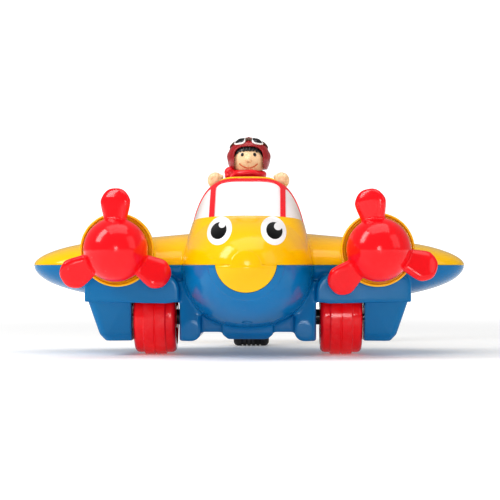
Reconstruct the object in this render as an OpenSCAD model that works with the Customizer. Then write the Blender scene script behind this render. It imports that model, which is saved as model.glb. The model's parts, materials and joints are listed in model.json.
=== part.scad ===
// Push-along toy airplane with geared propellers and a lift-out pilot.
// Millimetres. The nose points along -Y, +Z is up and the wings run along X.
// The origin is on the ground, midway between the wing tips and midway between nose and rudder.

/* [Body] */
// Wing span, tip to tip
span = 270; // [266:1:280]
// Overall length, nose to rudder
body_l = 262; // [258:1:264]
// Greatest width of the fuselage
body_w = 80; // [78:1:82]
// Height of the seam between the yellow and the blue shells
seam_z = 55; // [55:1:56]
// Height of the windscreen arch above the seam
arch_h = 53.5; // [52:0.5:54]
// Depth of the belly below the seam
belly_h = 38; // [37:0.5:38.5]
// Wall of the moulded shells
wall = 2.2; // [1.8:0.1:2.4]

/* [Wheels] */
// Radius of the front wheels, and so the height of their axle
wheel_r = 23; // [23:0.1:23.2]
// Width of a front wheel
wheel_w = 25.6; // [24:0.2:26]
// Distance from the middle of the plane to the middle of a front wheel
wheel_x = 56.8; // [56.4:0.1:57]
// Radius of the rear roller
roller_r = 15; // [14:0.5:15]
// Width of the rear roller
roller_w = 24; // [20:1:26]
// Distance from the middle of the plane back to the rear roller
roller_y = 70; // [66:1:74]

/* [Propellers] */
// Distance from the middle of the plane to a propeller shaft
prop_x = 77.5; // [77.4:0.05:77.6]
// Radius of the circle that the blade tips draw
blade_r = 36.3; // [34:0.1:37]
// Radius of the spinner dome
spinner_r = 19; // [18:0.5:19.5]
// Radius of the cowl ring
cowl_r = 22; // [21:0.5:23]
// Blades on one propeller
blades = 3; // [2:1:4]

/* [Pilot] */
// Width of the pilot's helmet
helmet_w = 27.2; // [26:0.1:27.4]
// Depth of the cockpit below its sill
tub_d = 26; // [24:1:27]

/* [Hidden] */

eps = 0.01;
over = 2;                     // how far a half body runs past the seam before it is cut flat
yellow = "#ffd200";
blue = "#0078be";
red = "#ee1122";
steel = "#b8bcc0";
black = "#1a1a1c";
white = "#f4f0f0";
skin = "#ffcf9a";

// Stations along the body
nose_y = -body_l / 2;
rudder_y = body_l / 2;
beam_y = -60;                 // widest section
screen_y = -88;               // front foot of the windscreen
arch_y = -50;                 // front face of the windscreen arch
arch_t = 3;                   // depth of the arch
cockpit_back = 10;            // rear end of the cockpit opening
tail_y = rudder_y - 6;        // end of the tail cone
nose_len = beam_y - nose_y;
nose_h = 32;                  // height of the nose above the seam
tail_half = 11;
tail_h = 15;
tail_round = 12;              // length of the rounded tail end
sill_z = seam_z + 42;         // side sills of the cockpit
tub_half = 22.5;              // half width of the cockpit opening

// Running gear
axle_y = -45;
axle_z = wheel_r;
rod_r = 2;
run = 0.05;                   // running clearance on a shaft
gear_x = 84.2;                // inboard face of the spur gears in the housings
gear_t = 3;
axle_teeth = 22;
idler_teeth = 19;
crown_teeth = 24;
pinion_teeth = 8;
idler_z = axle_z + (axle_teeth + idler_teeth) / 2;
prop_z = idler_z + (axle_teeth + idler_teeth) / 2;
crown_pin_r = 1.5;
plate_x = 87.8;               // inboard face of the gear plates
plate_t = 1.8;
well_in = 41.4;               // inboard wall of a wheel well
well_out = 70.6;              // outboard wall of a wheel well
strut_in = 28.2;
leg_z = 9;                    // underside of struts and gear housings
split_z = 38;                 // joint between lower shell and gear housings
leg_top = 98.6;               // outer face of a housing at that joint
strut_l = 55;
bush_r = 4;
axle_end = 89.2;
room_in = 75;                 // gear space inside a housing
room_out = 89.7;
pinion_y = -60;
pinion_l = 5.6;
shaft_end = -52;
lobe_r = 17.8;                // round yellow tip of the nose
well_top = 32.7;
fairing_y = -71;
fairing_back = -12;
belly_z = 14.4;               // flat belly between the struts
keel_z = 10;
keel_half = 15.3;

// Friction motor
drive_teeth = 20;
drive_m = 0.8;
small_teeth = 10;
big_teeth = 30;
fine_m = 0.6;
cluster_y = axle_y + (drive_teeth + small_teeth) / 2 * drive_m;
fly_gap = (big_teeth + small_teeth) / 2 * fine_m;
fly_y = cluster_y + fly_gap * cos(45);
fly_z = axle_z + fly_gap * sin(45);
frame_l = -11.2;               // left motor plate
frame_r = 8;                  // right motor plate
frame_t = 1.6;
keel_floor = keel_z + 1.8;

// Pilot
pilot_y = -30;
pilot_z = sill_z - tub_d + 2;
head_z = 121;

// ---- Body sections ------------------------------------------------------

function clamp01(t) = min(1, max(0, t));
function ease(t) = clamp01(t) * clamp01(t) * (3 - 2 * clamp01(t));
function mix(a, b, t) = a + (b - a) * t;
function nose_fade(y) = sqrt(max(0, 1 - pow((beam_y - y) / nose_len, 2)));
function tail_end(y) = sqrt(max(0, 1 - pow(max(0, y - tail_y + tail_round) / tail_round, 2)));
function tail_fade(y) = 0.5 + 0.5 * cos(180 * clamp01((y - beam_y) / (tail_y - beam_y)));
function half_w(y) = y < beam_y
    ? body_w / 2 * nose_fade(y)
    : mix(tail_half, body_w / 2, tail_fade(y)) * tail_end(y);
function back_h(y) = y < screen_y ? nose_h * nose_fade(y)
    : y < arch_y ? mix(nose_h * nose_fade(screen_y), arch_h, (y - screen_y) / (arch_y - screen_y))
    : mix(tail_h, arch_h, pow(tail_fade(y - arch_y + beam_y), 0.8)) * tail_end(y);
function belly_d(y) = y < beam_y
    ? belly_h * nose_fade(y)
    : mix(tail_h, belly_h, tail_fade(y)) * tail_end(y);
// The cabin is boxier than the nose and the tail
function boxy(y) = ease((y + 100) / 45) * (1 - ease((y - 20) / 90));
function upper_n(y) = mix(2.1, 4, boxy(y));
function draft(y) = mix(0.02, 0.26, boxy(y));

arc_steps = 16;
function se(c, n) = sign(c) * pow(abs(c), 2 / n);
function upper_arc(y, t) = [
    for (i = [0 : arc_steps])
        let(a = 180 * i / arc_steps, h = se(sin(a), upper_n(y)))
        [max(0.3, half_w(y) - t) * se(cos(a), upper_n(y)) * (1 - draft(y) * h),
         max(0.3, back_h(y) - t) * h]
];
function lower_arc(y, t) = [
    for (i = [0 : arc_steps])
        let(a = 180 + 180 * i / arc_steps)
        [max(0.3, half_w(y) - t) * se(cos(a), 2.3), max(0.3, belly_d(y) - t) * se(sin(a), 2.3)]
];
body_stations = [
    for (a = [4, 18, 32, 46, 58]) beam_y - nose_len * cos(a),
    screen_y, -78, -66, arch_y, -30, -8, 15, 38, 62, 86, tail_y - tail_round,
    for (a = [35, 60, 80]) tail_y - tail_round * (1 - sin(a))
];

// A closed skin through rings of points, each ring as long as the next
module loft(rings) {
    n = len(rings[0]);
    last = len(rings) - 1;
    points = [for (ring = rings) for (p = ring) p];
    sides = [
        for (k = [0 : last - 1])
            for (i = [0 : n - 1])
                for (tri = [[k * n + i, k * n + (i + 1) % n, (k + 1) * n + i],
                            [k * n + (i + 1) % n, (k + 1) * n + (i + 1) % n, (k + 1) * n + i]])
                    tri
    ];
    ends = [[for (i = [n - 1 : -1 : 0]) i], [for (i = [0 : n - 1]) last * n + i]];
    polyhedron(points = points, faces = concat(sides, ends));
}

// Ring of a half body at station y, with its cut edge run past the seam
function upper_ring(y, t) = [
    for (p = concat([[half_w(y) - min(t, half_w(y) / 2), -over]], upper_arc(y, t),
                    [[min(t, half_w(y) / 2) - half_w(y), -over]]))
        [p[0], y, seam_z + p[1]]
];
function lower_ring(y, t) = [
    for (p = concat([[min(t, half_w(y) / 2) - half_w(y), over]], lower_arc(y, t),
                    [[half_w(y) - min(t, half_w(y) / 2), over]]))
        [p[0], y, seam_z + p[1]]
];
function stations(t) = [for (y = body_stations) if (y > nose_y + 1.5 * t && y < tail_y - t) y];

module upper_body(t) {
    loft([for (y = stations(t)) upper_ring(y, t)]);
}

module lower_body(t) {
    loft([for (y = stations(t)) lower_ring(y, t)]);
}

// ---- Wings --------------------------------------------------------------

tip_x = span / 2;
function tip_fade(x, from, n) = pow(max(0, 1 - pow(clamp01((x - from) / (tip_x - from)), n)), 1 / n);
function chord_mid(x) = mix(-23, -24, x / tip_x);
function chord_half(x) = mix(50, 33, x / tip_x) * tip_fade(x, 88, 2.6);
function wing_up(x) = mix(23, 14.2, x / 98) * tip_fade(x, 98, 2);
function wing_down(x) = 21 * tip_fade(x, 66, 2);
wing_stations = [22, 60, 88, 100, 111, 121, 128.5, 133, tip_x - 0.1];
wing_steps = 12;

// Ring of a half wing at station x: side 1 is the top, -1 the underside
function wing_ring(x, side, t) =
    let(c = max(0.4, chord_half(x) - t),
        h = max(0.3, (side > 0 ? wing_up(x) : wing_down(x)) - t),
        turn = 180 / wing_steps)
    [for (p = concat([[c, -over]],
                     [for (i = [0 : wing_steps]) [c * cos(turn * i), h * sin(turn * i)]],
                     [[-c, -over]]))
        [x, chord_mid(x) + p[0], seam_z + side * p[1]]];

module half_wing(side, t) {
    rings = [for (x = wing_stations) if (x < tip_x - 2 * t) wing_ring(x, side, t)];
    loft(side < 0 ? rings : [for (i = [len(rings) - 1 : -1 : 0]) rings[i]]);
}

module wings(side, t) {
    both()
        half_wing(side, t);
}

module both() {
    children();
    mirror([1, 0, 0])
        children();
}

// ---- Nacelles and wheel fairings ----------------------------------------

nacelle_y = [-80, -62, -34, -6, 8];
nacelle_r = [20.5, 20.5, 17, 11, 3];
nacelle_z = [prop_z, prop_z, 63, 61, 58];

module nacelle(t) {
    for (i = [0 : len(nacelle_y) - 2])
        hull()
            for (k = [i, i + 1])
                translate([prop_x, nacelle_y[k] + (k > i ? 0 : eps), nacelle_z[k]])
                    rotate([90, 0, 0])
                        cylinder(r = max(0.5, nacelle_r[k] - t), h = eps, $fn = 32);
}

// Round-shouldered cover over the wheel, between the strut and the gear housing
module fairing() {
    hull() {
        translate([well_in + 10, fairing_back, split_z - 3])
            rotate([90, 0, 0])
                cylinder(r = 10, h = fairing_back - fairing_y, $fn = 32);
        translate([94.6, fairing_back, split_z + 6])
            rotate([90, 0, 0])
                cylinder(r = 4, h = fairing_back - fairing_y, $fn = 32);
        translate([well_in, fairing_y, well_top])
            cube([leg_top - well_in, fairing_back - fairing_y, split_z - well_top]);
    }
}

// Outboard leg, narrower at the foot and with rounded corners
module leg(t) {
    hull()
        for (end = [0, 1]) {
            leg_corner(end, leg_top, split_z + t, 0, t);
            leg_corner(end, 90, leg_z + 4, 3, t);
            leg_corner(end, 86.5, leg_z + t, 6, t);
        }
}

// Corner pair of the leg's plan at height z, its outer face at x
module leg_corner(end, x, z, inset, t) {
    y = end == 0 ? fairing_y + 4 + inset : fairing_back - 4 - inset;
    for (cx = [well_out + 1 + t, x - 4])
        translate([cx, y, z - eps])
            cylinder(r = cx < 80 ? 1 : 4 - t, h = eps, $fn = 24);
}

// Inboard strut with a rounded inner foot
module strut() {
    hull() {
        translate([strut_in + 6, fairing_back - 4, leg_z + 6])
            rotate([90, 0, 0])
                cylinder(r = 6, h = strut_l, $fn = 32);
        translate([well_in - 4, fairing_y + 4, leg_z])
            cube([4, strut_l, 36]);
        translate([strut_in, fairing_y + 4, 30])
            cube([4, strut_l, 15]);
    }
}

module belly_block(t) {
    translate([-strut_in - 2, -66 + t, belly_z + t])
        cube([2 * strut_in + 4, 60 - 2 * t, 20 - t]);
}

module keel(t) {
    hull() {
        translate([t - keel_half, t - 70, keel_z + 3])
            cube([2 * (keel_half - t), 70 - 2 * t, 14]);
        translate([min(t, 0.2) + 3.5 - keel_half, t - 66, keel_z + min(t, keel_floor - keel_z)])
            cube([2 * (keel_half - 3.5 - min(t, 0.2)), 62 - 2 * t, 2]);
    }
}

module axis_x(x, y, z) {
    translate([x, y, z])
        rotate([0, 90, 0])
            children();
}

// Axis along the plane, running back from y
module axis_y(x, y, z) {
    translate([x, y, z])
        rotate([-90, 0, 0])
            children();
}

// ---- Lower shell --------------------------------------------------------

screw_spots = [[0, -92], [50, 2], [-50, 2], [0, 44], [0, 96]];
post_r = 4;
screw_r = 1.2;
screw_head_r = 2.9;
screw_head_h = 2;
screw_seat = 3;               // depth of plastic under a screw head
function post_down(p) = p[0] == 0 ? belly_d(p[1]) - 1 : 16;

module lower_shell() {
    color(blue)
        difference() {
            union() {
                difference() {
                    lower_outside();
                    lower_inside();
                }
                for (p = screw_spots)
                    translate([p[0], p[1], seam_z - post_down(p)])
                        cylinder(r = post_r, h = post_down(p), $fn = 16);
            }
            translate([-200, -200, seam_z])
                cube([400, 400, 100]);
            both()
                axis_x(20, axle_y, axle_z)
                    cylinder(r = bush_r + 0.2, h = 80, $fn = 32);
            for (p = screw_spots)
                screw_hole(p);
            both()
                leg(0);
            roller_slot();
        }
}

module lower_outside() {
    lower_body(0);
    wings(-1, 0);
    both() {
        strut();
        difference() {
            union() {
                fairing();
                nacelle(0);
            }
            wheel_arch();
        }
    }
    belly_block(0);
    keel(0);
}

module lower_inside() {
    difference() {
        union() {
            lower_body(wall);
            wings(-1, wall);
        }
        both()
            wheel_arch_roof();
    }
    belly_block(wall);
    keel(wall);
    both() {
        gear_room();
        wheel_arch();
    }
    nose_lobe(0.15);
}

// Room for the gear train between a housing and its nacelle
module gear_room() {
    translate([room_in, -62, 20])
        cube([room_out - room_in, 34, 50]);
    intersection() {
        nacelle(wall);
        translate([56, -78, 44])
            cube([40, 50, 40]);
    }
    axis_y(prop_x, cowl_y - 1, prop_z)
        cylinder(r = 5.5, h = 10, $fn = 24);
}

// Space of the turning wheel
module wheel_arch() {
    axis_x(well_in, axle_y, axle_z)
        cylinder(r = wheel_r + 2, h = well_out - well_in, $fn = 64);
    translate([well_in, axle_y - wheel_r + 1.5, -1])
        cube([well_out - well_in, 60, well_top + 1]);
}

module wheel_arch_roof() {
    axis_x(well_in - wall, axle_y, axle_z)
        cylinder(r = wheel_r + 2 + wall, h = well_out - well_in + 2 * wall, $fn = 64);
}

module screw_hole(p) {
    translate([p[0], p[1], 0])
        cylinder(r = screw_r + 0.5, h = 60, $fn = 16);
    translate([p[0], p[1], 0])
        cylinder(r = screw_head_r + 0.3, h = seam_z - post_down(p) + screw_seat, $fn = 16);
}

module roller_slot() {
    translate([-roller_w / 2 - 1.5, roller_y - roller_r - 1.5, -1])
        cube([roller_w + 3, 2 * roller_r + 3, roller_r * 2 + 3]);
}

module gear_housing() {
    difference() {
        leg(0);
        translate([room_in, -62, leg_z + 1.8])
            cube([plate_x - 0.3 - room_in, 34, 60]);
        translate([room_in, -62, 17])
            cube([room_out - room_in, 34, 60]);
        axis_x(60, axle_y, axle_z)
            cylinder(r = bush_r + 0.2, h = 20, $fn = 32);
    }
}

module left_gear_housing() {
    color(blue)
        mirror([1, 0, 0])
            gear_housing();
}

module right_gear_housing() {
    color(blue)
        gear_housing();
}

// ---- Upper shell --------------------------------------------------------

function post_up(p) = p[0] == 0 ? back_h(p[1]) - 1 : 15;

module upper_shell() {
    color(yellow)
        union() {
            difference() {
                union() {
                    difference() {
                        upper_outside();
                        upper_inside();
                    }
                    for (p = screw_spots)
                        translate([p[0], p[1], seam_z])
                            cylinder(r = post_r, h = post_up(p), $fn = 16);
                }
                translate([-200, -200, seam_z - 100])
                    cube([400, 400, 100]);
                cockpit_cut();
                screen_cut();
                for (p = screw_spots)
                    translate([p[0], p[1], 0])
                        cylinder(r = screw_r + 0.1, h = seam_z + 12, $fn = 16);
            }
            nose_plug();
            nose_button();
        }
}

module upper_outside() {
    upper_body(0);
    wings(1, 0);
    both()
        nacelle(0);
}

module upper_inside() {
    upper_body(wall);
    wings(1, wall);
    both()
        gear_room();
}

module nose_lobe(grow) {
    axis_y(0, nose_y - 20, seam_z + 2)
        cylinder(r = lobe_r + grow, h = 32, $fn = 64);
}

// The round tip of the nose belongs to the upper shell
module nose_plug() {
    intersection() {
        union() {
            lower_body(0);
            upper_body(0);
        }
        nose_lobe(0);
    }
}

// Low round boss on the tip of the nose
button_r = 9.1;
button_dome = 28;
module nose_button() {
    axis_y(0, nose_y, seam_z - 0.5)
        rotate_extrude($fn = 64)
            intersection() {
                translate([0, button_dome])
                    circle(r = button_dome, $fn = 128);
                square([button_r, 4]);
            }
}

module cockpit_cut() {
    translate([0, 0, seam_z + 4])
        linear_extrude(200)
            cockpit_outline(0);
}

module cockpit_outline(inset) {
    hull()
        for (side = [-1, 1]) {
            translate([side * (tub_half - 7), arch_y + 14])
                circle(r = 7 - inset, $fn = 32);
            translate([side * (tub_half - 12), cockpit_back - 12])
                circle(r = 12 - inset, $fn = 32);
        }
}

// Space over the windscreen's sloping foot and over the side sills
module screen_cut() {
    screen_space();
    translate([-50, arch_y + 1, sill_z])
        cube([100, cockpit_back - arch_y - 16, 60]);
}

module screen_space() {
    intersection() {
        translate([-50, screen_y - 8, seam_z + 30])
            rotate([-6, 0, 0])
                cube([100, 60, 60]);
        translate([-60, screen_y - 8, 0])
            cube([120, arch_y + arch_t - screen_y + 8, 200]);
    }
}

module screen_skin(outer, inner) {
    difference() {
        intersection() {
            upper_body(outer);
            screen_space();
        }
        upper_body(inner);
    }
}

module windscreen() {
    color(white)
        screen_skin(0.6, wall);
}

// Red pillars and hoop, flush with the body
module windscreen_frame() {
    color(red)
        intersection() {
            screen_skin(0, 0.6);
            union() {
                translate([-50, arch_y - 4, 0])
                    cube([100, 20, 200]);
                for (side = [-1, 1])
                    translate([side * 21.3 - 1.6, -100, 0])
                        cube([3.2, 60, 200]);
            }
        }
}

module cockpit_tub() {
    color(blue)
        difference() {
            translate([0, 0, sill_z - tub_d])
                linear_extrude(tub_d)
                    cockpit_outline(0.3);
            translate([0, 0, pilot_z])
                linear_extrude(tub_d)
                    cockpit_outline(2);
        }
}

// ---- Tail ---------------------------------------------------------------

// Upright fin outline, seen from the side: [y, height above the seam]
fin_outline = [[70, 18], [92, 66], [104, 75], [122, 75], [131, 66], [131, 10], [116, 8]];

module tail_fin() {
    color(yellow)
        difference() {
            hull() {
                fin_sheet(2, 0);
                fin_sheet(4.5, 3.5);
            }
            fin_foot();
        }
}

module fin_sheet(half, inset) {
    translate([-half, 0, seam_z])
        rotate([90, 0, 90])
            linear_extrude(2 * half)
                offset(r = 4 - inset, $fn = 24)
                    offset(delta = -4)
                        polygon(fin_outline);
}

module fin_foot() {
    upper_body(0);
    translate([-20, 60, 0])
        cube([40, 80, seam_z + 8.2]);
}

module tailplane() {
    color(yellow)
        difference() {
            hull()
                for (side = [-1, 1]) {
                    translate([side * 56, 0, 0])
                        tail_pod(114, 8.5, 2.2);
                    translate([side * 4, 0, 0])
                        tail_pod(108, 19, 3.6);
                }
            upper_body(0);
            translate([-4.6, 60, 0])
                cube([9.2, 100, 200]);
        }
}

// Flat lens, the plan radius r and the thickness 2 * h
module tail_pod(y, r, h) {
    translate([0, y, seam_z + 11])
        scale([1, 1, h / r])
            sphere(r = r, $fn = 24);
}

// ---- Cowls and propellers -----------------------------------------------

cowl_y = -80;                 // back face of a cowl
cowl_d = 7;
blade_y = -95.5;              // middle plane of the blades
hub_back = -88.2;
blade_w = 16.5;

module cowl() {
    axis_y(prop_x, cowl_y - cowl_d, prop_z)
        rotate_extrude($fn = 96)
            difference() {
                union() {
                    translate([0, cowl_d - 2])
                        square([cowl_r, 2]);
                    translate([cowl_r - 1.6, 1.6])
                        circle(r = 1.6, $fn = 24);
                    translate([cowl_r - 3.2, 1.6])
                        square([3.2, cowl_d - 1.6]);
                    translate([0, 2.5])
                        square([5, cowl_d - 2.5]);
                }
                square([rod_r + run, cowl_d]);
            }
}

module left_cowl() {
    color(yellow)
        mirror([1, 0, 0])
            cowl();
}

module right_cowl() {
    color(yellow)
        cowl();
}

// Domed hub and blades in one moulding; turn is the angle of the first blade from straight up
module propeller(x, turn) {
    translate([x, 0, prop_z]) {
        difference() {
            union() {
                rotate([-90, 0, 0])
                    translate([0, 0, hub_back])
                        rotate_extrude($fn = 96)
                            dome_outline(0);
                for (k = [0 : blades - 1])
                    rotate([0, turn + 360 / blades * k, 0])
                        blade();
            }
            rotate([-90, 0, 0])
                translate([0, 0, hub_back])
                    rotate_extrude($fn = 64)
                        dome_outline(wall);
        }
    }
}

// Half outline of the dome, cut square where the hub plate sits
module dome_outline(t) {
    intersection() {
        translate([0, -7])
            circle(r = spinner_r - t, $fn = 128);
        translate([0, -30])
            square([spinner_r - t, 30 + (t > 0 ? 1 : 0)]);
    }
}

module blade() {
    translate([0, blade_y, 0])
        hull() {
            rotate([0, 0, -24])
                translate([0, 0, spinner_r - 2])
                    scale([1, 0.55, 0.6])
                        sphere(r = blade_w * 0.4, $fn = 16);
            rotate([0, 0, -24])
                translate([0, 0, blade_r - blade_w / 2])
                    scale([1, 0.45, 1])
                        sphere(r = blade_w / 2, $fn = 24);
        }
}

module left_propeller() {
    color(red)
        propeller(-prop_x, 0);
}

module right_propeller() {
    color(red)
        propeller(prop_x, -10);
}

// Disc that closes the back of the dome and grips the shaft
module hub_plate() {
    axis_y(prop_x, hub_back - 2, prop_z)
        difference() {
            union() {
                cylinder(r = 15, h = 2, $fn = 96);
                translate([0, 0, -8])
                    cylinder(r = 4.5, h = 9, $fn = 48);
            }
            translate([0, 0, -9])
                cylinder(r = rod_r, h = 12, $fn = 48);
        }
}

module left_hub_plate() {
    color(red)
        mirror([1, 0, 0])
            hub_plate();
}

module right_hub_plate() {
    color(red)
        hub_plate();
}

module prop_shaft() {
    axis_y(prop_x, hub_back - 10, prop_z)
        cylinder(r = rod_r, h = shaft_end - hub_back + 10, $fn = 48);
}

module left_prop_shaft() {
    color(steel)
        mirror([1, 0, 0])
            prop_shaft();
}

module right_prop_shaft() {
    color(steel)
        prop_shaft();
}

// ---- Gears --------------------------------------------------------------

press = 20;                   // pressure angle
play = 0.16;                  // each tooth flank is this much short
function tooth_half(pitch_r, teeth, r) =
    90 / teeth - (r - pitch_r) * tan(press) / r * 180 / PI - play / pitch_r * 180 / PI;
function polar(r, a) = [r * cos(a), r * sin(a)];
function gear_outline(teeth, m, first) =
    let(p = teeth * m / 2, root = p - 1.3 * m, tip = p + 0.85 * m)
    [for (k = [0 : teeth - 1])
        for (q = [[root, -1], [tip, -1], [tip, 1], [root, 1]])
            polar(q[0], first + 360 * k / teeth + q[1] * tooth_half(p, teeth, q[0]))];

module spur(teeth, m, thick, bore, first) {
    linear_extrude(thick)
        difference() {
            polygon(gear_outline(teeth, m, first));
            circle(r = bore, $fn = 48);
        }
}

module axle_gear() {
    axis_x(gear_x, axle_y, axle_z)
        spur(axle_teeth, 1, gear_t, rod_r, 180);
}

module left_axle_gear() {
    color(white)
        mirror([1, 0, 0])
            axle_gear();
}

module right_axle_gear() {
    color(white)
        axle_gear();
}

// A gap of the idler faces the axle gear's top tooth, so a tooth of it faces up
module idler_gear() {
    axis_x(gear_x, axle_y, idler_z)
        spur(idler_teeth, 1, gear_t, crown_pin_r + run, 180);
}

module left_idler_gear() {
    color(white)
        mirror([1, 0, 0])
            idler_gear();
}

module right_idler_gear() {
    color(white)
        idler_gear();
}

crown_r = 12;                 // middle of the face teeth

// Spur gear and face gear in one moulding; the face teeth point inboard
module crown_gear() {
    difference() {
        union() {
            axis_x(gear_x - 0.3, axle_y, prop_z)
                spur(axle_teeth, 1, gear_t + 0.3, crown_pin_r + run, 180 / axle_teeth);
            axis_x(gear_x - 1.3, axle_y, prop_z)
                cylinder(r = crown_r + 1.1, h = 1, $fn = 96);
            for (k = [0 : crown_teeth - 1])
                translate([gear_x - 1.3, axle_y, prop_z])
                    rotate([360 * k / crown_teeth, 0, 0])
                        face_tooth();
        }
        axis_x(70, axle_y, prop_z)
            cylinder(r = crown_pin_r + run, h = 30, $fn = 48);
    }
}

// Face tooth on the -Y side, its crest at x = -crest_h
crest_h = 2.1;
module face_tooth() {
    foot = crown_r * PI / crown_teeth / 2 - play + 0.4;
    crest = crown_r * PI / crown_teeth / 2 - play - 0.38;
    translate([0, 1.1 - crown_r, 0])
        rotate([90, 0, 0])
            linear_extrude(2.2)
                polygon([[0.1, -foot], [0.1, foot], [-crest_h, crest], [-crest_h, -crest]]);
}

module left_crown_gear() {
    color(white)
        mirror([1, 0, 0])
            crown_gear();
}

module right_crown_gear() {
    color(white)
        crown_gear();
}

module pinion() {
    axis_y(prop_x, pinion_y, prop_z)
        spur(pinion_teeth, 1, pinion_l, rod_r, 180 / pinion_teeth);
}

module left_pinion() {
    color(white)
        mirror([1, 0, 0])
            pinion();
}

module right_pinion() {
    color(white)
        pinion();
}

// Bar that carries the idler and crown pins and the end of the axle
module gear_plate() {
    difference() {
        union() {
            translate([plate_x, axle_y - 4, 17.4])
                cube([plate_t, 8, 52]);
            for (z = [idler_z, prop_z])
                axis_x(gear_x - 1, axle_y, z)
                    cylinder(r = crown_pin_r, h = plate_x - gear_x + 1 + eps, $fn = 48);
        }
        axis_x(plate_x - 1, axle_y, axle_z)
            cylinder(r = rod_r + run, h = plate_t + 2, $fn = 48);
    }
}

module left_gear_plate() {
    color("gray")
        mirror([1, 0, 0])
            gear_plate();
}

module right_gear_plate() {
    color("gray")
        gear_plate();
}

// ---- Front axle ---------------------------------------------------------

module axle_rod() {
    color(steel)
        axis_x(-axle_end, axle_y, axle_z)
            cylinder(r = rod_r, h = 2 * axle_end, $fn = 48);
}

// Wheel with a raised tread band, deep hub recesses and a bore that grips the axle
module wheel() {
    axis_x(wheel_x - wheel_w / 2, axle_y, axle_z)
        rotate_extrude($fn = 120)
            difference() {
                union() {
                    wheel_band(wheel_w, wheel_r - 1.2, 3);
                    wheel_band(13.5, wheel_r, 0.8);
                }
                square([rod_r, wheel_w]);
                for (z = [0, wheel_w - 3])
                    translate([7, z])
                        square([10, 3]);
            }
}

// Half outline of a drum with rounded shoulders
module wheel_band(w, r, round) {
    translate([0, (wheel_w - w) / 2])
        union() {
            square([r - round, w]);
            translate([0, round])
                square([r, w - 2 * round]);
            for (z = [round, w - round])
                translate([r - round, z])
                    circle(r = round, $fn = 32);
        }
}

module left_wheel() {
    color(red)
        mirror([1, 0, 0])
            wheel();
}

module right_wheel() {
    color(red)
        wheel();
}

spacer_r = 4.75;
module hub_spacers() {
    color(black)
        both()
            axis_x(well_in + 0.4, axle_y, axle_z)
                difference() {
                    cylinder(r = spacer_r, h = wheel_x - wheel_w / 2 - well_in - 0.4, $fn = 48);
                    translate([0, 0, -1])
                        cylinder(r = rod_r, h = 10, $fn = 48);
                }
}

// Plain bearings pressed into the struts and the housings
module axle_bushes() {
    color("gray")
        both()
            for (span_x = [[32, well_in], [well_out, room_in]])
                axis_x(span_x[0], axle_y, axle_z)
                    difference() {
                        cylinder(r = bush_r, h = span_x[1] - span_x[0], $fn = 48);
                        translate([0, 0, -1])
                            cylinder(r = rod_r + run, h = 20, $fn = 48);
                    }
}

module prop_bearings() {
    color("gray")
        both()
            axis_y(prop_x, -67, prop_z)
                difference() {
                    cylinder(r = 18, h = 3, $fn = 96);
                    translate([0, 0, -1])
                        cylinder(r = rod_r + run, h = 5, $fn = 48);
                }
}

// ---- Friction motor -----------------------------------------------------

module motor_plate(x) {
    translate([x, 0, 0])
        rotate([90, 0, 90])
            linear_extrude(frame_t)
                difference() {
                    translate([-52, keel_floor])
                        square([42, 34]);
                    translate([axle_y, axle_z])
                        circle(r = rod_r + 0.1, $fn = 48);
                    translate([fly_y, fly_z])
                        circle(r = crown_pin_r + run, $fn = 48);
                    for (p = motor_posts)
                        translate(p)
                            circle(r = 1.1, $fn = 32);
                }
}

motor_posts = [[-48, 42], [-13, 42], [-13, 15.5]];

module motor_frame_left() {
    color(black)
        union() {
            motor_plate(frame_l);
            for (p = motor_posts)
                axis_x(frame_l + frame_t, p[0], p[1])
                    difference() {
                        cylinder(r = 2.4, h = frame_r - frame_l - frame_t, $fn = 32);
                        cylinder(r = 1.1, h = 40, $fn = 32);
                    }
            axis_x(frame_l + frame_t, cluster_y, axle_z)
                cylinder(r = crown_pin_r, h = frame_r - frame_l - frame_t, $fn = 48);
        }
}

module motor_frame_right() {
    color(black)
        motor_plate(frame_r);
}

module motor_screws() {
    color(steel)
        for (p = motor_posts)
            axis_x(frame_r - 7, p[0], p[1]) {
                cylinder(r = 1, h = 7 + frame_t, $fn = 32);
                translate([0, 0, 7 + frame_t])
                    cylinder(r = 2, h = 1.3, $fn = 32);
            }
}

module motor_drive_gear() {
    color(white)
        axis_x(2, axle_y, axle_z)
            spur(drive_teeth, drive_m, 5, rod_r, 90);
}

// Small pinion and big gear in one moulding
module cluster_gear() {
    color(white)
        axis_x(-3, cluster_y, axle_z) {
            spur(big_teeth, fine_m, 4.6, crown_pin_r + run, 135);
            translate([0, 0, 4.6])
                spur(small_teeth, drive_m, 5.4, crown_pin_r + run, 90 + 180 / small_teeth);
        }
}

module flywheel() {
    color(steel)
        axis_x(frame_l, fly_y, fly_z)
            union() {
                cylinder(r = crown_pin_r, h = frame_r + frame_t - frame_l, $fn = 48);
                translate([0, 0, frame_t + 0.4])
                    cylinder(r = 9.5, h = 5.2, $fn = 96);
            }
}

module flywheel_pinion() {
    color(white)
        axis_x(-3.4, fly_y, fly_z)
            spur(small_teeth, fine_m, 5, crown_pin_r, 135 + 180 / small_teeth);
}

module body_screws() {
    color(steel)
        for (p = screw_spots)
            translate([p[0], p[1], seam_z - post_down(p) + screw_seat]) {
                translate([0, 0, -screw_head_h])
                    cylinder(r = screw_head_r, h = screw_head_h, $fn = 32);
                cylinder(r = screw_r, h = post_down(p) + 6, $fn = 32);
            }
}

// ---- Rear roller --------------------------------------------------------

module roller_bracket() {
    color(blue)
        difference() {
            union()
                for (side = [-1, 1])
                    hull() {
                        translate([side * (roller_w / 2 + 3) - 2, roller_y - 12, 38])
                            cube([4, 24, 4]);
                        axis_x(side * (roller_w / 2 + 3) - 2, roller_y, roller_r)
                            cylinder(r = 5, h = 4, $fn = 32);
                    }
            axis_x(-30, roller_y, roller_r)
                cylinder(r = rod_r, h = 60, $fn = 48);
            lower_body(0);
        }
}

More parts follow.
